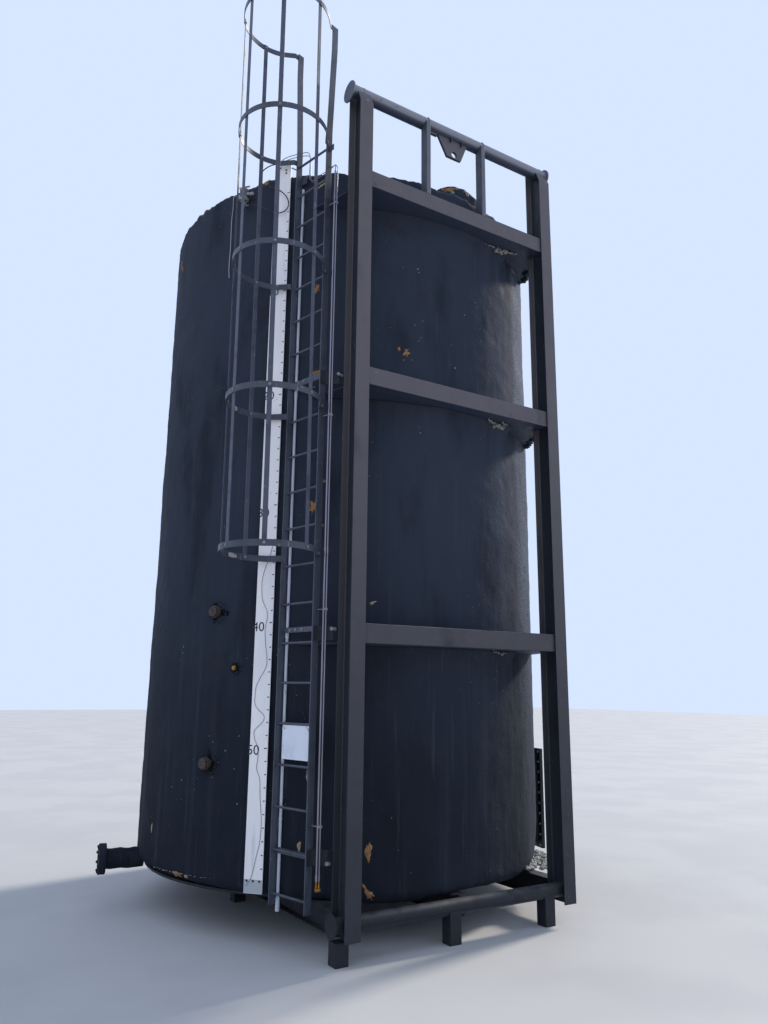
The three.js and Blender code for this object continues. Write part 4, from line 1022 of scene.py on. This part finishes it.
for z in LADDER_FLAT_ZS:
    add_box(ladder, (-half_span, LADDER_FLAT_V, z - FLAT_HALF),
            (half_span, LADDER_FLAT_V + FLAT_THICK, z + FLAT_HALF), 0.0012)
piece(stand(ladder), "ladder_bars", ladder_paint, "cage", "ladder")

# %% Hoops
HOOP_ZS = (2.886, 4.093, 5.285, 6.512, 7.662)
HOOP_TALL, HOOP_THICK, HOOP_V, HOOP_R, HOOP_LEG = 0.050, 0.006, 0.336, 0.383, 0.040
HOOP_START = math.radians(-35)
RAIL_OUTER = half_span + LADDER_THICK / 2 + 0.0003


def hoop(number, z, spread):
    bm = bmesh.new()
    low = z - HOOP_TALL / 2
    middle = HOOP_R - HOOP_THICK / 2
    foot = RAIL_OUTER + spread + HOOP_THICK / 2
    start = bm.verts.new((middle * math.cos(HOOP_START), HOOP_V + middle * math.sin(HOOP_START), low))
    leg = chain(bm, ((foot, 0.0, low), (foot, HOOP_LEG, low)))[0]
    bm.edges.new((leg.verts[1], start))
    end = bmesh.ops.spin(bm, geom=[start], cent=(0, HOOP_V, low), axis=UP, angle=math.pi - 2 * HOOP_START,
                         steps=56)["geom_last"][0]
    leg = [bm.verts.new((-foot, HOOP_LEG, low)), bm.verts.new((-foot, 0.0, low))]
    bm.edges.new((end, leg[0]))
    bm.edges.new(leg)
    bmesh.ops.remove_doubles(bm, verts=bm.verts, dist=1e-6)
    grown = bmesh.ops.extrude_edge_only(bm, edges=bm.edges[:])["geom"]
    shift_new(bm, grown, UP * HOOP_TALL)
    bmesh.ops.recalc_face_normals(bm, faces=bm.faces)
    bm.normal_update()
    for v in bm.verts:
        v.co -= v.normal * HOOP_THICK / 2
    bmesh.ops.solidify(bm, geom=bm.faces[:], thickness=-HOOP_THICK)
    bmesh.ops.recalc_face_normals(bm, faces=bm.faces)
    round_edges(bm, 0.001, 1, angle=math.radians(60))
    piece(stand(bm, True), f"cage_hoop_{number}_band", hoop_paint, "cage", f"cage_hoop_{number}")


for number, z in enumerate(HOOP_ZS, 1):
    hoop(number, z, FLARE if number == len(HOOP_ZS) else 0.0)

# %% Upright bars and their bolts
CAGE_BAR_DEGS, CAGE_BAR_WIDE, CAGE_BAR_THICK, BOLT_V = (-10, 43, 93, 137, 187), 0.038, 0.006, 0.018
reach = HOOP_R - HOOP_THICK - 0.001
bolts = bmesh.new()
for number, deg in enumerate(CAGE_BAR_DEGS, 1):
    turned = Matrix.Translation((0, HOOP_V, 0)) @ Matrix.Rotation(math.radians(deg), 4, "Z")
    bar = bmesh.new()
    add_box(bar, (reach - CAGE_BAR_THICK, -CAGE_BAR_WIDE / 2, HOOP_ZS[0] - HOOP_TALL / 2),
            (reach, CAGE_BAR_WIDE / 2, HOOP_ZS[-1] + HOOP_TALL / 2), 0.0012)
    name = f"cage_bar_{number}"
    piece(stand(placed(bar, turned), True), name + "_flat", cage_paint, "cage", name)
    for z in HOOP_ZS:
        for radius, way in ((reach + HOOP_THICK + 0.001, 1), (reach - CAGE_BAR_THICK, -1)):
            add_bolt(bolts, turned @ Vector((radius, 0, z)), turned.to_3x3() @ ALONG_X * way, 0.008, 0.007)
for z in HOOP_ZS[:-1]:
    for side in (-1, 1):
        add_bolt(bolts, (side * (RAIL_OUTER + HOOP_THICK), BOLT_V, z), ALONG_X * side)

# %% [markdown]
# Bolt heads are bare zinc that has gone dull, so they show as pale dots.

# %% Zinc heads
zinc_bolts = noisy_finish("zinc_bolts", "8f9197", 0.42, [("55504c", 0.7, (0.5, 0.7), 180, 3)],
                          (0.0004, 300, 3), (0.65, (0.4, 0.6), 120, 3, 4), metallic=0.6)
piece(stand(bolts, True), "cage_bolts", zinc_bolts, "cage")

# %% Brackets and their bolts
for number in (1, 2, 3):
    dressed(f"ladder_bracket_{number}", dark_steel, "dark", 0.0012)
BRACKET_BOLTS = (  # x and height
    (-1.163, 2.305), (-1.120, 2.307), (-1.067, 2.256), (-1.150, 0.647), (-1.125, 0.643), (-1.075, 0.660),
    (-1.150, 4.360), (-1.112, 4.362), (-1.067, 4.320))
BRACKET_FACE_Y, BRACKET_FOLD_X, FOLD_SLOPE, FOLD_TURN = -1.8577, -1.135, 0.9, -0.3
FLAT_BOLT_US = (-0.115, -0.045, 0.030)
heads = bmesh.new()
for x, z in BRACKET_BOLTS:
    past_fold = min(0.0, x - BRACKET_FOLD_X)
    out = (FOLD_TURN if past_fold else 0, -1, 0)
    add_bolt(heads, (x, BRACKET_FACE_Y + past_fold * FOLD_SLOPE, z), out, 0.010, 0.009)
for z in LADDER_FLAT_ZS:
    for u in FLAT_BOLT_US:
        add_bolt(heads, ladder_place @ Vector((u, LADDER_FLAT_V + FLAT_THICK, z)), along_v)
piece(heads, "bracket_bolts", zinc_bolts, "dark")

# %% Lugs on the ladder's rails
LUGS = (  # on which rail, then two corners from the middle of that rail's thickness
    (1, (0.005, -0.004, 6.43), (0.062, 0.004, 6.485)), (-1, (-0.006, -0.034, 6.30), (0.075, -0.024, 6.375)))
LUG_PIN, LUG_PIN_HALF, LUG_PIN_R = Vector((half_span + 0.040, 0, 6.457)), Vector((0, 0.007, 0)), 0.014
lugs = bmesh.new()
for side, low, high in LUGS:
    add_box(lugs, Vector(low) + ALONG_X * side * half_span, Vector(high) + ALONG_X * side * half_span, 0.002)
add_rod(lugs, LUG_PIN - LUG_PIN_HALF, LUG_PIN + LUG_PIN_HALF, LUG_PIN_R, 16, 0.001)
piece(stand(lugs), "ladder_lugs", ladder_paint, "cage")

# %% [markdown]
# Inside the hoops the paint has worn to pale bare patches, most of all on the side by the right rail.
# Flat flakes of pale worn paint lie on the bands there, a fraction of a millimetre proud.

# %% Worn patches on the hoops
worn_paint = noisy_finish("worn_paint", "a7a39a", 0.6,
                          [("5d5a55", 0.8, (0.5, 0.66), 45, 4), ("d0ccc2", 0.6, (0.55, 0.7), 70, 3, 5)],
                          (0.0003, 160, 3))
WORN_PATCHES = (  # height, middle and half width in degrees
    (5.285, -14, 9), (4.093, -16, 9), (2.886, -12, 10), (2.886, 168, 7), (4.093, 160, 5))
PATCH_R, PATCH_HALF, PATCH_THICK = HOOP_R - HOOP_THICK - 0.0006, 0.018, 0.0004
patches = bmesh.new()
for z, deg, half in WORN_PATCHES:
    last = None
    for level in range(9):
        way = (level - 4) / 4
        turn = math.radians(deg + half * way)
        narrow = PATCH_HALF * (1 - 0.25 * way ** 2) * (1 + 0.2 * noise.noise(Vector((deg, level * 0.8, z))))
        x, y = PATCH_R * math.cos(turn), HOOP_V + PATCH_R * math.sin(turn)
        pair = [patches.verts.new((x, y, z + k * narrow)) for k in (-1, 1)]
        if last:
            patches.faces.new((last[0], last[1], pair[1], pair[0]))
        last = pair
patches.normal_update()
bmesh.ops.solidify(patches, geom=patches.faces[:], thickness=PATCH_THICK)
piece(stand(patches, True), "hoop_worn_patches", worn_paint, "cage")

# %% [markdown]
# ## The gauge board
# A tall enamelled board shows the level: a short black tick for each cubic metre and plain numbers for each
# ten. Ticks could be painted by a mask, but at this size thin raised strips stay crisp. The numbers are text
# turned into mesh, then bent to the board's place. Its foot is a separate greyer sheet with three bolts.

# %% Board finish
def enamel(name, code, stain, dirt):
    blotches = [("cdccd0", 0.5, (0.45, 0.7), 1.6, 5, 0, 0.4), (dirt, 0.35, (0.6, 0.75), 14, 5, 5, 0.12),
                (stain, 0.6, (0.7, 0.78), 22, 5, 9)]
    return noisy_finish(name, code, 0.38, blotches, (0.0003, 30, 3, 2), (0.6, (0.45, 0.65), 6, 4, 3))


board_white = enamel("board_enamel", "f4efea", "b99a78", "9da1aa")
board_foot = enamel("board_foot_sheet", "aeb3b3", "8a7a62", "77797c")
board_ink = cord_finish("board_ink", "14161a", "3a3d44", 0.5)

# %% Board and ticks
BOARD_W, BOARD_Z0 = 0.152, 0.365
TICK_PITCH, TICK_HALF, TICK_EDGE, SHORT_TICK, LONG_TICK = 0.0965, 0.004, 0.006, 0.015, 0.024
TEN_MARKS = {10: 5.268, 20: 4.297, 30: 3.273, 40: 2.338, 50: 1.390}
board_place = Matrix((across(BOARD_DEG), out_of(BOARD_DEG), UP)).transposed().to_4x4()
board_place.translation = out_of(BOARD_DEG) * BOARD_R
dressed("gauge_board", board_white, "board")

tick_right = BOARD_W / 2 - TICK_EDGE
ticks = bmesh.new()
for i in range(60):
    z = TEN_MARKS[10] + (10 - i) * TICK_PITCH
    tick_left = tick_right - (LONG_TICK if i % 10 == 0 else SHORT_TICK)
    add_box(ticks, (tick_left, -0.001, z - TICK_HALF), (tick_right, 0.0006, z + TICK_HALF))
piece(placed(ticks, board_place), "board_ticks", board_ink, "board")

# %% The board's foot sheet and bolts
FOOT_SHEET_ZS, FOOT_SHEET_OUT = (BOARD_Z0 + 0.004, BOARD_Z0 + 0.098), 0.0012
BOARD_BOLTS = (  # to the right of the middle, and height
    (-0.052, 0.452), (0.0, 0.452), (0.052, 0.452), (0.030, 6.470), (0.030, 6.440), (-0.03, 6.50))
sheet = bmesh.new()
add_box(sheet, (-BOARD_W / 2 + 0.001, -0.001, FOOT_SHEET_ZS[0]),
        (BOARD_W / 2 - 0.001, FOOT_SHEET_OUT, FOOT_SHEET_ZS[1]), 0.0004)
piece(placed(sheet, board_place), "board_foot", board_foot, "board")
dots = bmesh.new()
for s, z in BOARD_BOLTS:
    add_bolt(dots, board_place @ Vector((s, 0.0005, z)), out_of(BOARD_DEG), 0.006, 0.005)
piece(dots, "board_bolts", dark_steel, "board")

# %% Plain numbers
NUMBER_SIZE, NUMBER_THICK, NUMBER_RIGHT, NUMBER_OUT = 0.105, 0.0006, 0.006, 0.0004
numbers = bmesh.new()
for value, z in TEN_MARKS.items():
    letters = bpy.data.curves.new("number", "FONT")
    letters.body = str(value)
    letters.size = NUMBER_SIZE
    letters.align_x, letters.align_y = "RIGHT", "CENTER"
    letters.extrude = NUMBER_THICK
    words = add_object("number", letters)
    bpy.context.view_layer.update()
    mesh = bpy.data.meshes.new_from_object(words)
    mesh.transform(board_place @ Matrix.Translation((NUMBER_RIGHT, NUMBER_OUT, z)) @ STANDING)
    numbers.from_mesh(mesh)
    bpy.data.objects.remove(words)
bmesh.ops.remove_doubles(numbers, verts=numbers.verts, dist=1e-6)
piece(numbers, "board_numbers", board_ink, "board")

# %% [markdown]
# ## Conduit, twin tubes and the small tubing at the top
# A pale conduit runs up behind the rungs, and two bright steel tubes run up outside the right rail. At the
# top they bend back over the foam's edge as thin instrument tubing to the board's head. Pipes that only bend
# are curves with a round section, turned into meshes.

# %% Conduit and tube finishes
conduit_paint = noisy_finish(
    "conduit_paint", "c4c8d0", 0.42,
    [("a6aab2", 0.7, (0.5, 0.7), 6, 5, 0, 0.3), ("5b5d63", 0.6, (0.64, 0.74), 50, 4, 4, 0.2)],
    (0.0004, 80, 3), metallic=0.1)
bright_tube = noisy_finish(
    "bright_tube", "928f96", 0.3, [("77727c", 0.7, (0.45, 0.7), 9, 5, 0, 0.1)], (0.0002, 90, 3, 0, 0.1),
    (0.5, (0.5, 0.7), 30, 4, 3, 0.1), metallic=0.85)
brass = noisy_finish("brass_end", "a87c38", 0.35, [("5e4120", 0.7, (0.45, 0.65), 90, 4)], (0.0003, 220, 3),
                     metallic=0.9)

# %% Conduit
CONDUIT = Vector((-1.300, -1.397, 0))
CONDUIT_R, CONDUIT_Z, SLEEVE_R, SLEEVE_Z = 0.012, (0.252, 6.262), 0.0165, 0.348
COUPLING_ZS, COUPLING_HALF, CLIP_ZS, CLIP_HALF, CLIP_R = (2.28, 4.3), 0.03, (0.9, 2.7, 4.5, 6.1), 0.008, 0.005
conduit_deg = math.degrees(math.atan2(CONDUIT.x, -CONDUIT.y))
conduit = bmesh.new()
add_upright(conduit, CONDUIT, SLEEVE_Z - 0.002, CONDUIT_Z[1], CONDUIT_R, 24, 0.001)
add_upright(conduit, CONDUIT, CONDUIT_Z[0], SLEEVE_Z, SLEEVE_R, 24, 0.002)
for z in COUPLING_ZS:
    add_upright(conduit, CONDUIT, z - COUPLING_HALF, z + COUPLING_HALF, CONDUIT_R + 0.003, 24, 0.001)
for z in CLIP_ZS:
    add_rod(conduit, spot(conduit_deg, FOAM_R - 0.03, z), CONDUIT + UP * z, CLIP_R, 12)
    add_upright(conduit, CONDUIT, z - CLIP_HALF, z + CLIP_HALF, CONDUIT_R + 0.002, 24, 0.0006)
piece(conduit, "conduit_pipe", conduit_paint, "conduit", "conduit")

# %% Twin tubes with couplings
TUBE_PLACES = Vector((-1.227, -1.866, 0)), Vector((-1.206, -1.866, 0))
TUBE_R, TUBE_Z = 0.007, (0.530, 6.205)
NUT_ZS, NUT_HALF, TUBE_CLIP_ZS = (2.9, 5.95, 0.56), 0.02, (0.9, 2.45, 4.0, 5.9)
CLIP_PLATE_YS, CLIP_PLATE_EDGE, CLAMP_R = (-1.8765, -1.8745), 0.010, 0.004
tubes = bmesh.new()
for place in TUBE_PLACES:
    add_upright(tubes, place, *TUBE_Z, TUBE_R, 20)
    for z in NUT_ZS:
        add_upright(tubes, place, z - NUT_HALF, z + NUT_HALF, TUBE_R + 0.0025, 12, 0.0008)
inner_tube, outer_tube = TUBE_PLACES
tube_v = (inner_tube - ladder_mid).dot(along_v)
for z in TUBE_CLIP_ZS:
    rail_side = ladder_mid + along_u * (RAIL_OUTER - 0.002) + along_v * tube_v + UP * z
    add_rod(tubes, rail_side, inner_tube + UP * z, CLIP_R, 12)
    add_box(tubes, (inner_tube.x - CLIP_PLATE_EDGE, CLIP_PLATE_YS[0], z - CLIP_PLATE_EDGE),
            (outer_tube.x + CLIP_PLATE_EDGE, CLIP_PLATE_YS[1], z + CLIP_PLATE_EDGE), 0.0006)
    add_rod(tubes, inner_tube + UP * z, outer_tube + UP * z, CLAMP_R, 12)
piece(tubes, "twin_tubes_bright", bright_tube, "tube", "twin_tubes")

# %% The tubes' brass end
BRASS_BLOCK = ((-0.020, -0.011, 0.468), (0.022, 0.011, 0.490))
BRASS_RODS = (  # heights, radius, sides, rounding
    (0.488, 0.512, 0.0085, 6, 0.0008), (0.508, 0.532, 0.0072, 16))
brass_end = bmesh.new()
between_tubes = (inner_tube + outer_tube) / 2
add_box(brass_end, *(between_tubes + Vector(corner) for corner in BRASS_BLOCK), 0.004)
for place in TUBE_PLACES:
    for rod in BRASS_RODS:
        add_upright(brass_end, place, *rod)
piece(brass_end, "tube_brass_end", brass, "tube")

# %% Instrument tubing over the roof's edge
LINE_R, LINE_TOP_Z, LINE_SHIFT = 0.0035, 6.637, 0.034


def instrument_tube(number, shift):
    """One of the two bent lines, the second one a shift lower. The curve is made a mesh at once."""
    top, drop, side = LINE_TOP_Z - shift * 0.9, shift / 2, shift / 3
    foot = TUBE_PLACES[number - 1].xy
    points = [
        (*foot, 6.200), (*foot, 6.240), (-1.215, -1.850, 6.275), (-1.190, -1.700, 6.345 - drop),
        (-1.165, -1.560, 6.400 - drop), (-1.195, -1.500, 6.385 - drop), (-1.235, -1.448, 6.350 - drop),
        (-1.256 + side, -1.430, 6.375), (-1.260 + side, -1.432, 6.500), (-1.264 + side, -1.436, top - 0.03),
        (-1.280 + side, -1.428, top - 0.004), (-1.340, -1.375, top - 0.006), (-1.430, -1.290, top - 0.030),
        (-1.455, -1.262, top - 0.050), (-1.458, -1.250, top - 0.09), (-1.450, -1.240, 6.42)]
    name = f"instrument_tube_{number}"
    tube = tube_curve(name + "_line", through([Vector(p) for p in points], 8), LINE_R, bright_tube)[0]
    bpy.context.view_layer.update()
    bm = bmesh.new()
    bm.from_mesh(bpy.data.meshes.new_from_object(tube.evaluated_get(bpy.context.evaluated_depsgraph_get())))
    bpy.data.objects.remove(tube)
    bmesh.ops.remove_doubles(bm, verts=bm.verts, dist=1e-6)
    piece(bm, name, bright_tube, "tube")


instrument_tube(1, 0.0)
instrument_tube(2, LINE_SHIFT)

# %% [markdown]
# ## Sign, nozzles and the valve
# The sign is a plain bare plate that hangs close under a rung on two wire ties. The capped nozzles poke out
# of holes in the foam, each with a rough rim of foam round it. The valve on the upper wall keeps its packed
# shape and gets its handle and a dull cast finish.

# %% Bare sign
sign_face = noisy_finish("sign_face", "dfe3ea", 0.35,
                         [("b4b8c2", 0.5, (0.45, 0.7), 4, 4), ("8d9098", 0.5, (0.66, 0.76), 40, 4, 3)],
                         (0.0008, 7, 2, 1))
SIGN_RUNG_Z = RUNG_Z0 + 4 * RUNG_PITCH
SIGN_TIE_US, TIE_DROP, TIE_R, TIE_WIRE_R = (-0.120, 0.160), 0.010, 0.022, 0.0016
dressed("sign_plate", sign_face, "sign", 0.0008, 1)
ties = bmesh.new()
for u in SIGN_TIE_US:
    add_ring(ties, (u, 0, SIGN_RUNG_Z - TIE_DROP), ALONG_X, TIE_R, TIE_WIRE_R, 24, 0)
    add_bolt(ties, (u, 0.0015, SIGN_RUNG_Z - 0.036), (0, 1, 0), 0.004, 0.003)
piece(stand(ties), "sign_ties", zinc_bolts, "sign")

# %% Rusty caps and their foam rims
rusty_cap = noisy_finish(
    "rusty_cap", "463c3a", 0.75,
    [("5b4842", 0.8, (0.45, 0.7), 40, 5), ("221d1c", 0.8, (0.5, 0.7), 22, 5, 5),
     ("857a76", 0.5, (0.6, 0.72), 130, 3, 2)],
    (0.0012, 90, 5), metallic=0.2)
# painted shade: a near-black flake stands for the shade in the gap between each nozzle and its foam rim
painted_gap_shade = noisy_finish("painted_gap_shade", "0f1114", 0.95, [("1d2026", 1.0, (0.45, 0.7), 40, 4)],
                           (0.004, 60, 3), specular=0.1)

NOZZLES = (  # name, azimuth, height, pipe and cap radius, pipe and cap length, rim radius, finish, sides
    ("capped_nozzle_upper", -62.9, 2.476, 0.036, 0.050, 0.030, 0.040, 0.095, rusty_cap, 8),
    ("capped_nozzle_lower", -63.5, 1.273, 0.036, 0.050, 0.030, 0.040, 0.090, rusty_cap, 8),
    ("small_fitting", -56.4, 2.018, 0.014, 0.020, 0.020, 0.022, 0.048, brass, 6))
rims, gap_shade_discs = bmesh.new(), bmesh.new()
for name, deg, z, pipe_r, cap_r, length, cap_length, rim_r, finish, sides in NOZZLES:
    cap = bmesh.new()
    add_spoke(cap, deg, z, -0.03, length + 0.004, pipe_r, 32)
    add_spoke(cap, deg, z, length - 0.006, length + cap_length * 0.55, cap_r, 40, 0.002)
    add_spoke(cap, deg, z, length + cap_length * 0.5, length + cap_length, cap_r * 0.88, sides, 0.003)
    piece(cap, name + "_cap", finish, "cap", name)
    add_ring(rims, on_wall(deg, z, -0.004), out_of(deg), rim_r * 0.93, 0.010, 44, 1.5)
    # painted shade: a dark flat disc inside each rim
    add_flake(gap_shade_discs, on_wall, deg, z, rim_r * 2.0, rim_r * 2.0, 0, 0.003)
piece(rims, "nozzle_foam_rims", hatch_coat, "foam", sharp=SOFT)
piece(gap_shade_discs, "nozzle_gap_shade", painted_gap_shade, "foam", sharp=SOFT)

# %% Foam-wrapped low nozzle
LOW_NOZZLE_DEG, LOW_NOZZLE_Z, LOW_FACE, LOW_BOLT_R, LOW_BOLTS = -100, 0.392, 0.330, 0.104, 8
out = out_of(LOW_NOZZLE_DEG)
wrap = bmesh.new()
for start, end, radius in ((-0.05, 0.272, 0.083), (0.268, LOW_FACE, 0.127)):
    add_spoke(wrap, LOW_NOZZLE_DEG, LOW_NOZZLE_Z, start, end, radius, 48, 0.006)
bmesh.ops.subdivide_edges(wrap, edges=[e for e in wrap.edges if e.calc_length() > 0.04], cuts=7)
for v in wrap.verts:
    if (v.co - spot(LOW_NOZZLE_DEG, FOAM_R, LOW_NOZZLE_Z)).dot(out) < 0.262:
        v.co += noise.noise_vector(v.co * 14) * 0.010 + noise.noise_vector(v.co * 40) * 0.003
for k in range(LOW_BOLTS):
    turn = 2 * math.pi * (k + 0.5) / LOW_BOLTS
    aside = across(LOW_NOZZLE_DEG) * math.cos(turn) * LOW_BOLT_R + UP * (math.sin(turn) * LOW_BOLT_R)
    add_bolt(wrap, spot(LOW_NOZZLE_DEG, FOAM_R + LOW_FACE, LOW_NOZZLE_Z) + aside, out, 0.011, 0.012)
piece(wrap, "flanged_nozzle_wrapped", hatch_coat, "foam", "flanged_nozzle")

# %% Valve on the upper wall
cast_grey = noisy_finish("cast_grey", "5f636b", 0.5,
                         [("9a9da3", 0.8, (0.5, 0.68), 30, 4), ("2a2c31", 0.8, (0.5, 0.66), 18, 5, 5)],
                         (0.001, 140, 3), metallic=0.4)
dressed("wall_valve", cast_grey, "tube", 0.0012)
VALVE_DEG, VALVE_R, VALVE_Z = -60.2, 1.955, 6.302
VALVE_RIMS = (  # above the middle, radius, tall
    (0.046, 0.046, 0.010), (-0.046, 0.046, 0.010), (-0.09, 0.024, 0.02))
VALVE_ENDS = (  # to the right from and to, rise, radius, sides
    (0.03, 0.105, -0.010, 0.015, 6), (-0.03, -0.075, 0.004, 0.018, 8))
STEM_ZS, STEM_R = (0.045, 0.085), 0.010
HANDLE, HANDLE_UP, HANDLE_TURN = Vector((0.055, 0.009, 0.004)), 0.083, 8
valve = out_of(VALVE_DEG) * VALVE_R
trim = bmesh.new()
for above, radius, tall in VALVE_RIMS:
    add_upright(trim, valve, VALVE_Z + above - tall / 2, VALVE_Z + above + tall / 2, radius, 8, 0.0015)
add_upright(trim, valve, *(VALVE_Z + above for above in STEM_ZS), STEM_R, 12)
handle = bmesh.new()
add_box(handle, -HANDLE, HANDLE, 0.002)
turned = Matrix.Rotation(math.radians(VALVE_DEG + HANDLE_TURN), 4, "Z")
pour(trim, placed(handle, Matrix.Translation(valve + UP * (VALVE_Z + HANDLE_UP)) @ turned))
for start, end, rise, radius, sides in VALVE_ENDS:
    add_rod(trim, valve + across(VALVE_DEG) * start + UP * VALVE_Z,
            valve + across(VALVE_DEG) * end + UP * (VALVE_Z + rise), radius, sides, 0.001)
piece(trim, "valve_trim", worn_paint, "tube")

# %% [markdown]
# ## The clean-out
# A square neck with a bolted cover stands out of the foam on the right. Bevelled copies of its packed
# plates, and a frame of pale bolt heads round the cover, are all that it needs.

# %% Clean-out neck, cover and bolts
dressed("cleanout_neck", dark_steel, "dark", 0.0015)
dressed("cleanout_cover", dark_steel, "dark", 0.002)
CLEAN_DEG, CLEAN_FACE_R, CLEAN_Z0, CLEAN_Z1, CLEAN_HALF = 75, 2.0163, 0.330, 1.285, 0.400
ROWS, COLUMNS, EDGE_IN, CLEAN_THICK = 9, 8, 0.030, 0.0305
side_s, low_z, high_z = CLEAN_HALF - EDGE_IN, CLEAN_Z0 + EDGE_IN, CLEAN_Z1 - EDGE_IN
bolt_places = [(s, low_z + k * (high_z - low_z) / ROWS) for s in (-side_s, side_s) for k in range(ROWS + 1)]
bolt_places += [(-side_s + k * 2 * side_s / COLUMNS, z) for z in (low_z, high_z) for k in range(1, COLUMNS)]
out = out_of(CLEAN_DEG)
clean_bolts = bmesh.new()
for s, z in bolt_places:
    place = out * CLEAN_FACE_R + across(CLEAN_DEG) * s + UP * z
    add_bolt(clean_bolts, place, out, 0.011, 0.012)
    add_bolt(clean_bolts, place - out * CLEAN_THICK, -out, 0.011, 0.014)
piece(clean_bolts, "cleanout_bolts", zinc_bolts, "dark")

# %% [markdown]
# ## Floor and light
# A plain pale floor and soft light: a bright even sky, and one sun from the right and a little behind, which
# grazes the wall's right side and throws the bars' shadows on it, as on the day of the photograph.

# %% The floor
FLOOR_HALF = 60
bm = bmesh.new()
bmesh.ops.create_grid(bm, x_segments=1, y_segments=1, size=FLOOR_HALF)
floor_mesh = bpy.data.meshes.new("studio_floor")
bm.to_mesh(floor_mesh)
bm.free()
add_object("studio_floor", floor_mesh)
floor_mesh.materials.append(noisy_finish("studio_pale", "b6b5b1", 0.8, [("b0afac", 1.0, (0.4, 0.6), 0.6, 3)],
                                         (0.0005, 30, 2)))

# %% The light
SKY_COLOUR, SKY_STRENGTH = (0.52, 0.615, 0.83, 1), 1.3
SUN_AZIMUTH, SUN_HEIGHT, SUN_ENERGY, SUN_WIDTH, SUN_COLOUR = 99, 32, 3.6, 8, (1.0, 0.93, 0.84)
world = bpy.data.worlds.new("studio")
bpy.context.scene.world = world
world.use_nodes = True
sky = world.node_tree.nodes["Background"].inputs
sky["Color"].default_value = SKY_COLOUR
sky["Strength"].default_value = SKY_STRENGTH
sun = add_object("sun", bpy.data.lights.new("sun", "SUN"))
sun.data.energy = SUN_ENERGY
sun.data.angle = math.radians(SUN_WIDTH)
sun.data.color = SUN_COLOUR
towards = spot(SUN_AZIMUTH, math.cos(math.radians(SUN_HEIGHT)), math.sin(math.radians(SUN_HEIGHT)))
sun.rotation_mode = "QUATERNION"
sun.rotation_quaternion = towards.to_track_quat("Z", "Y")
bpy.context.scene.view_settings.view_transform = "Standard"
print("sun from", tuple(round(c, 3) for c in towards))
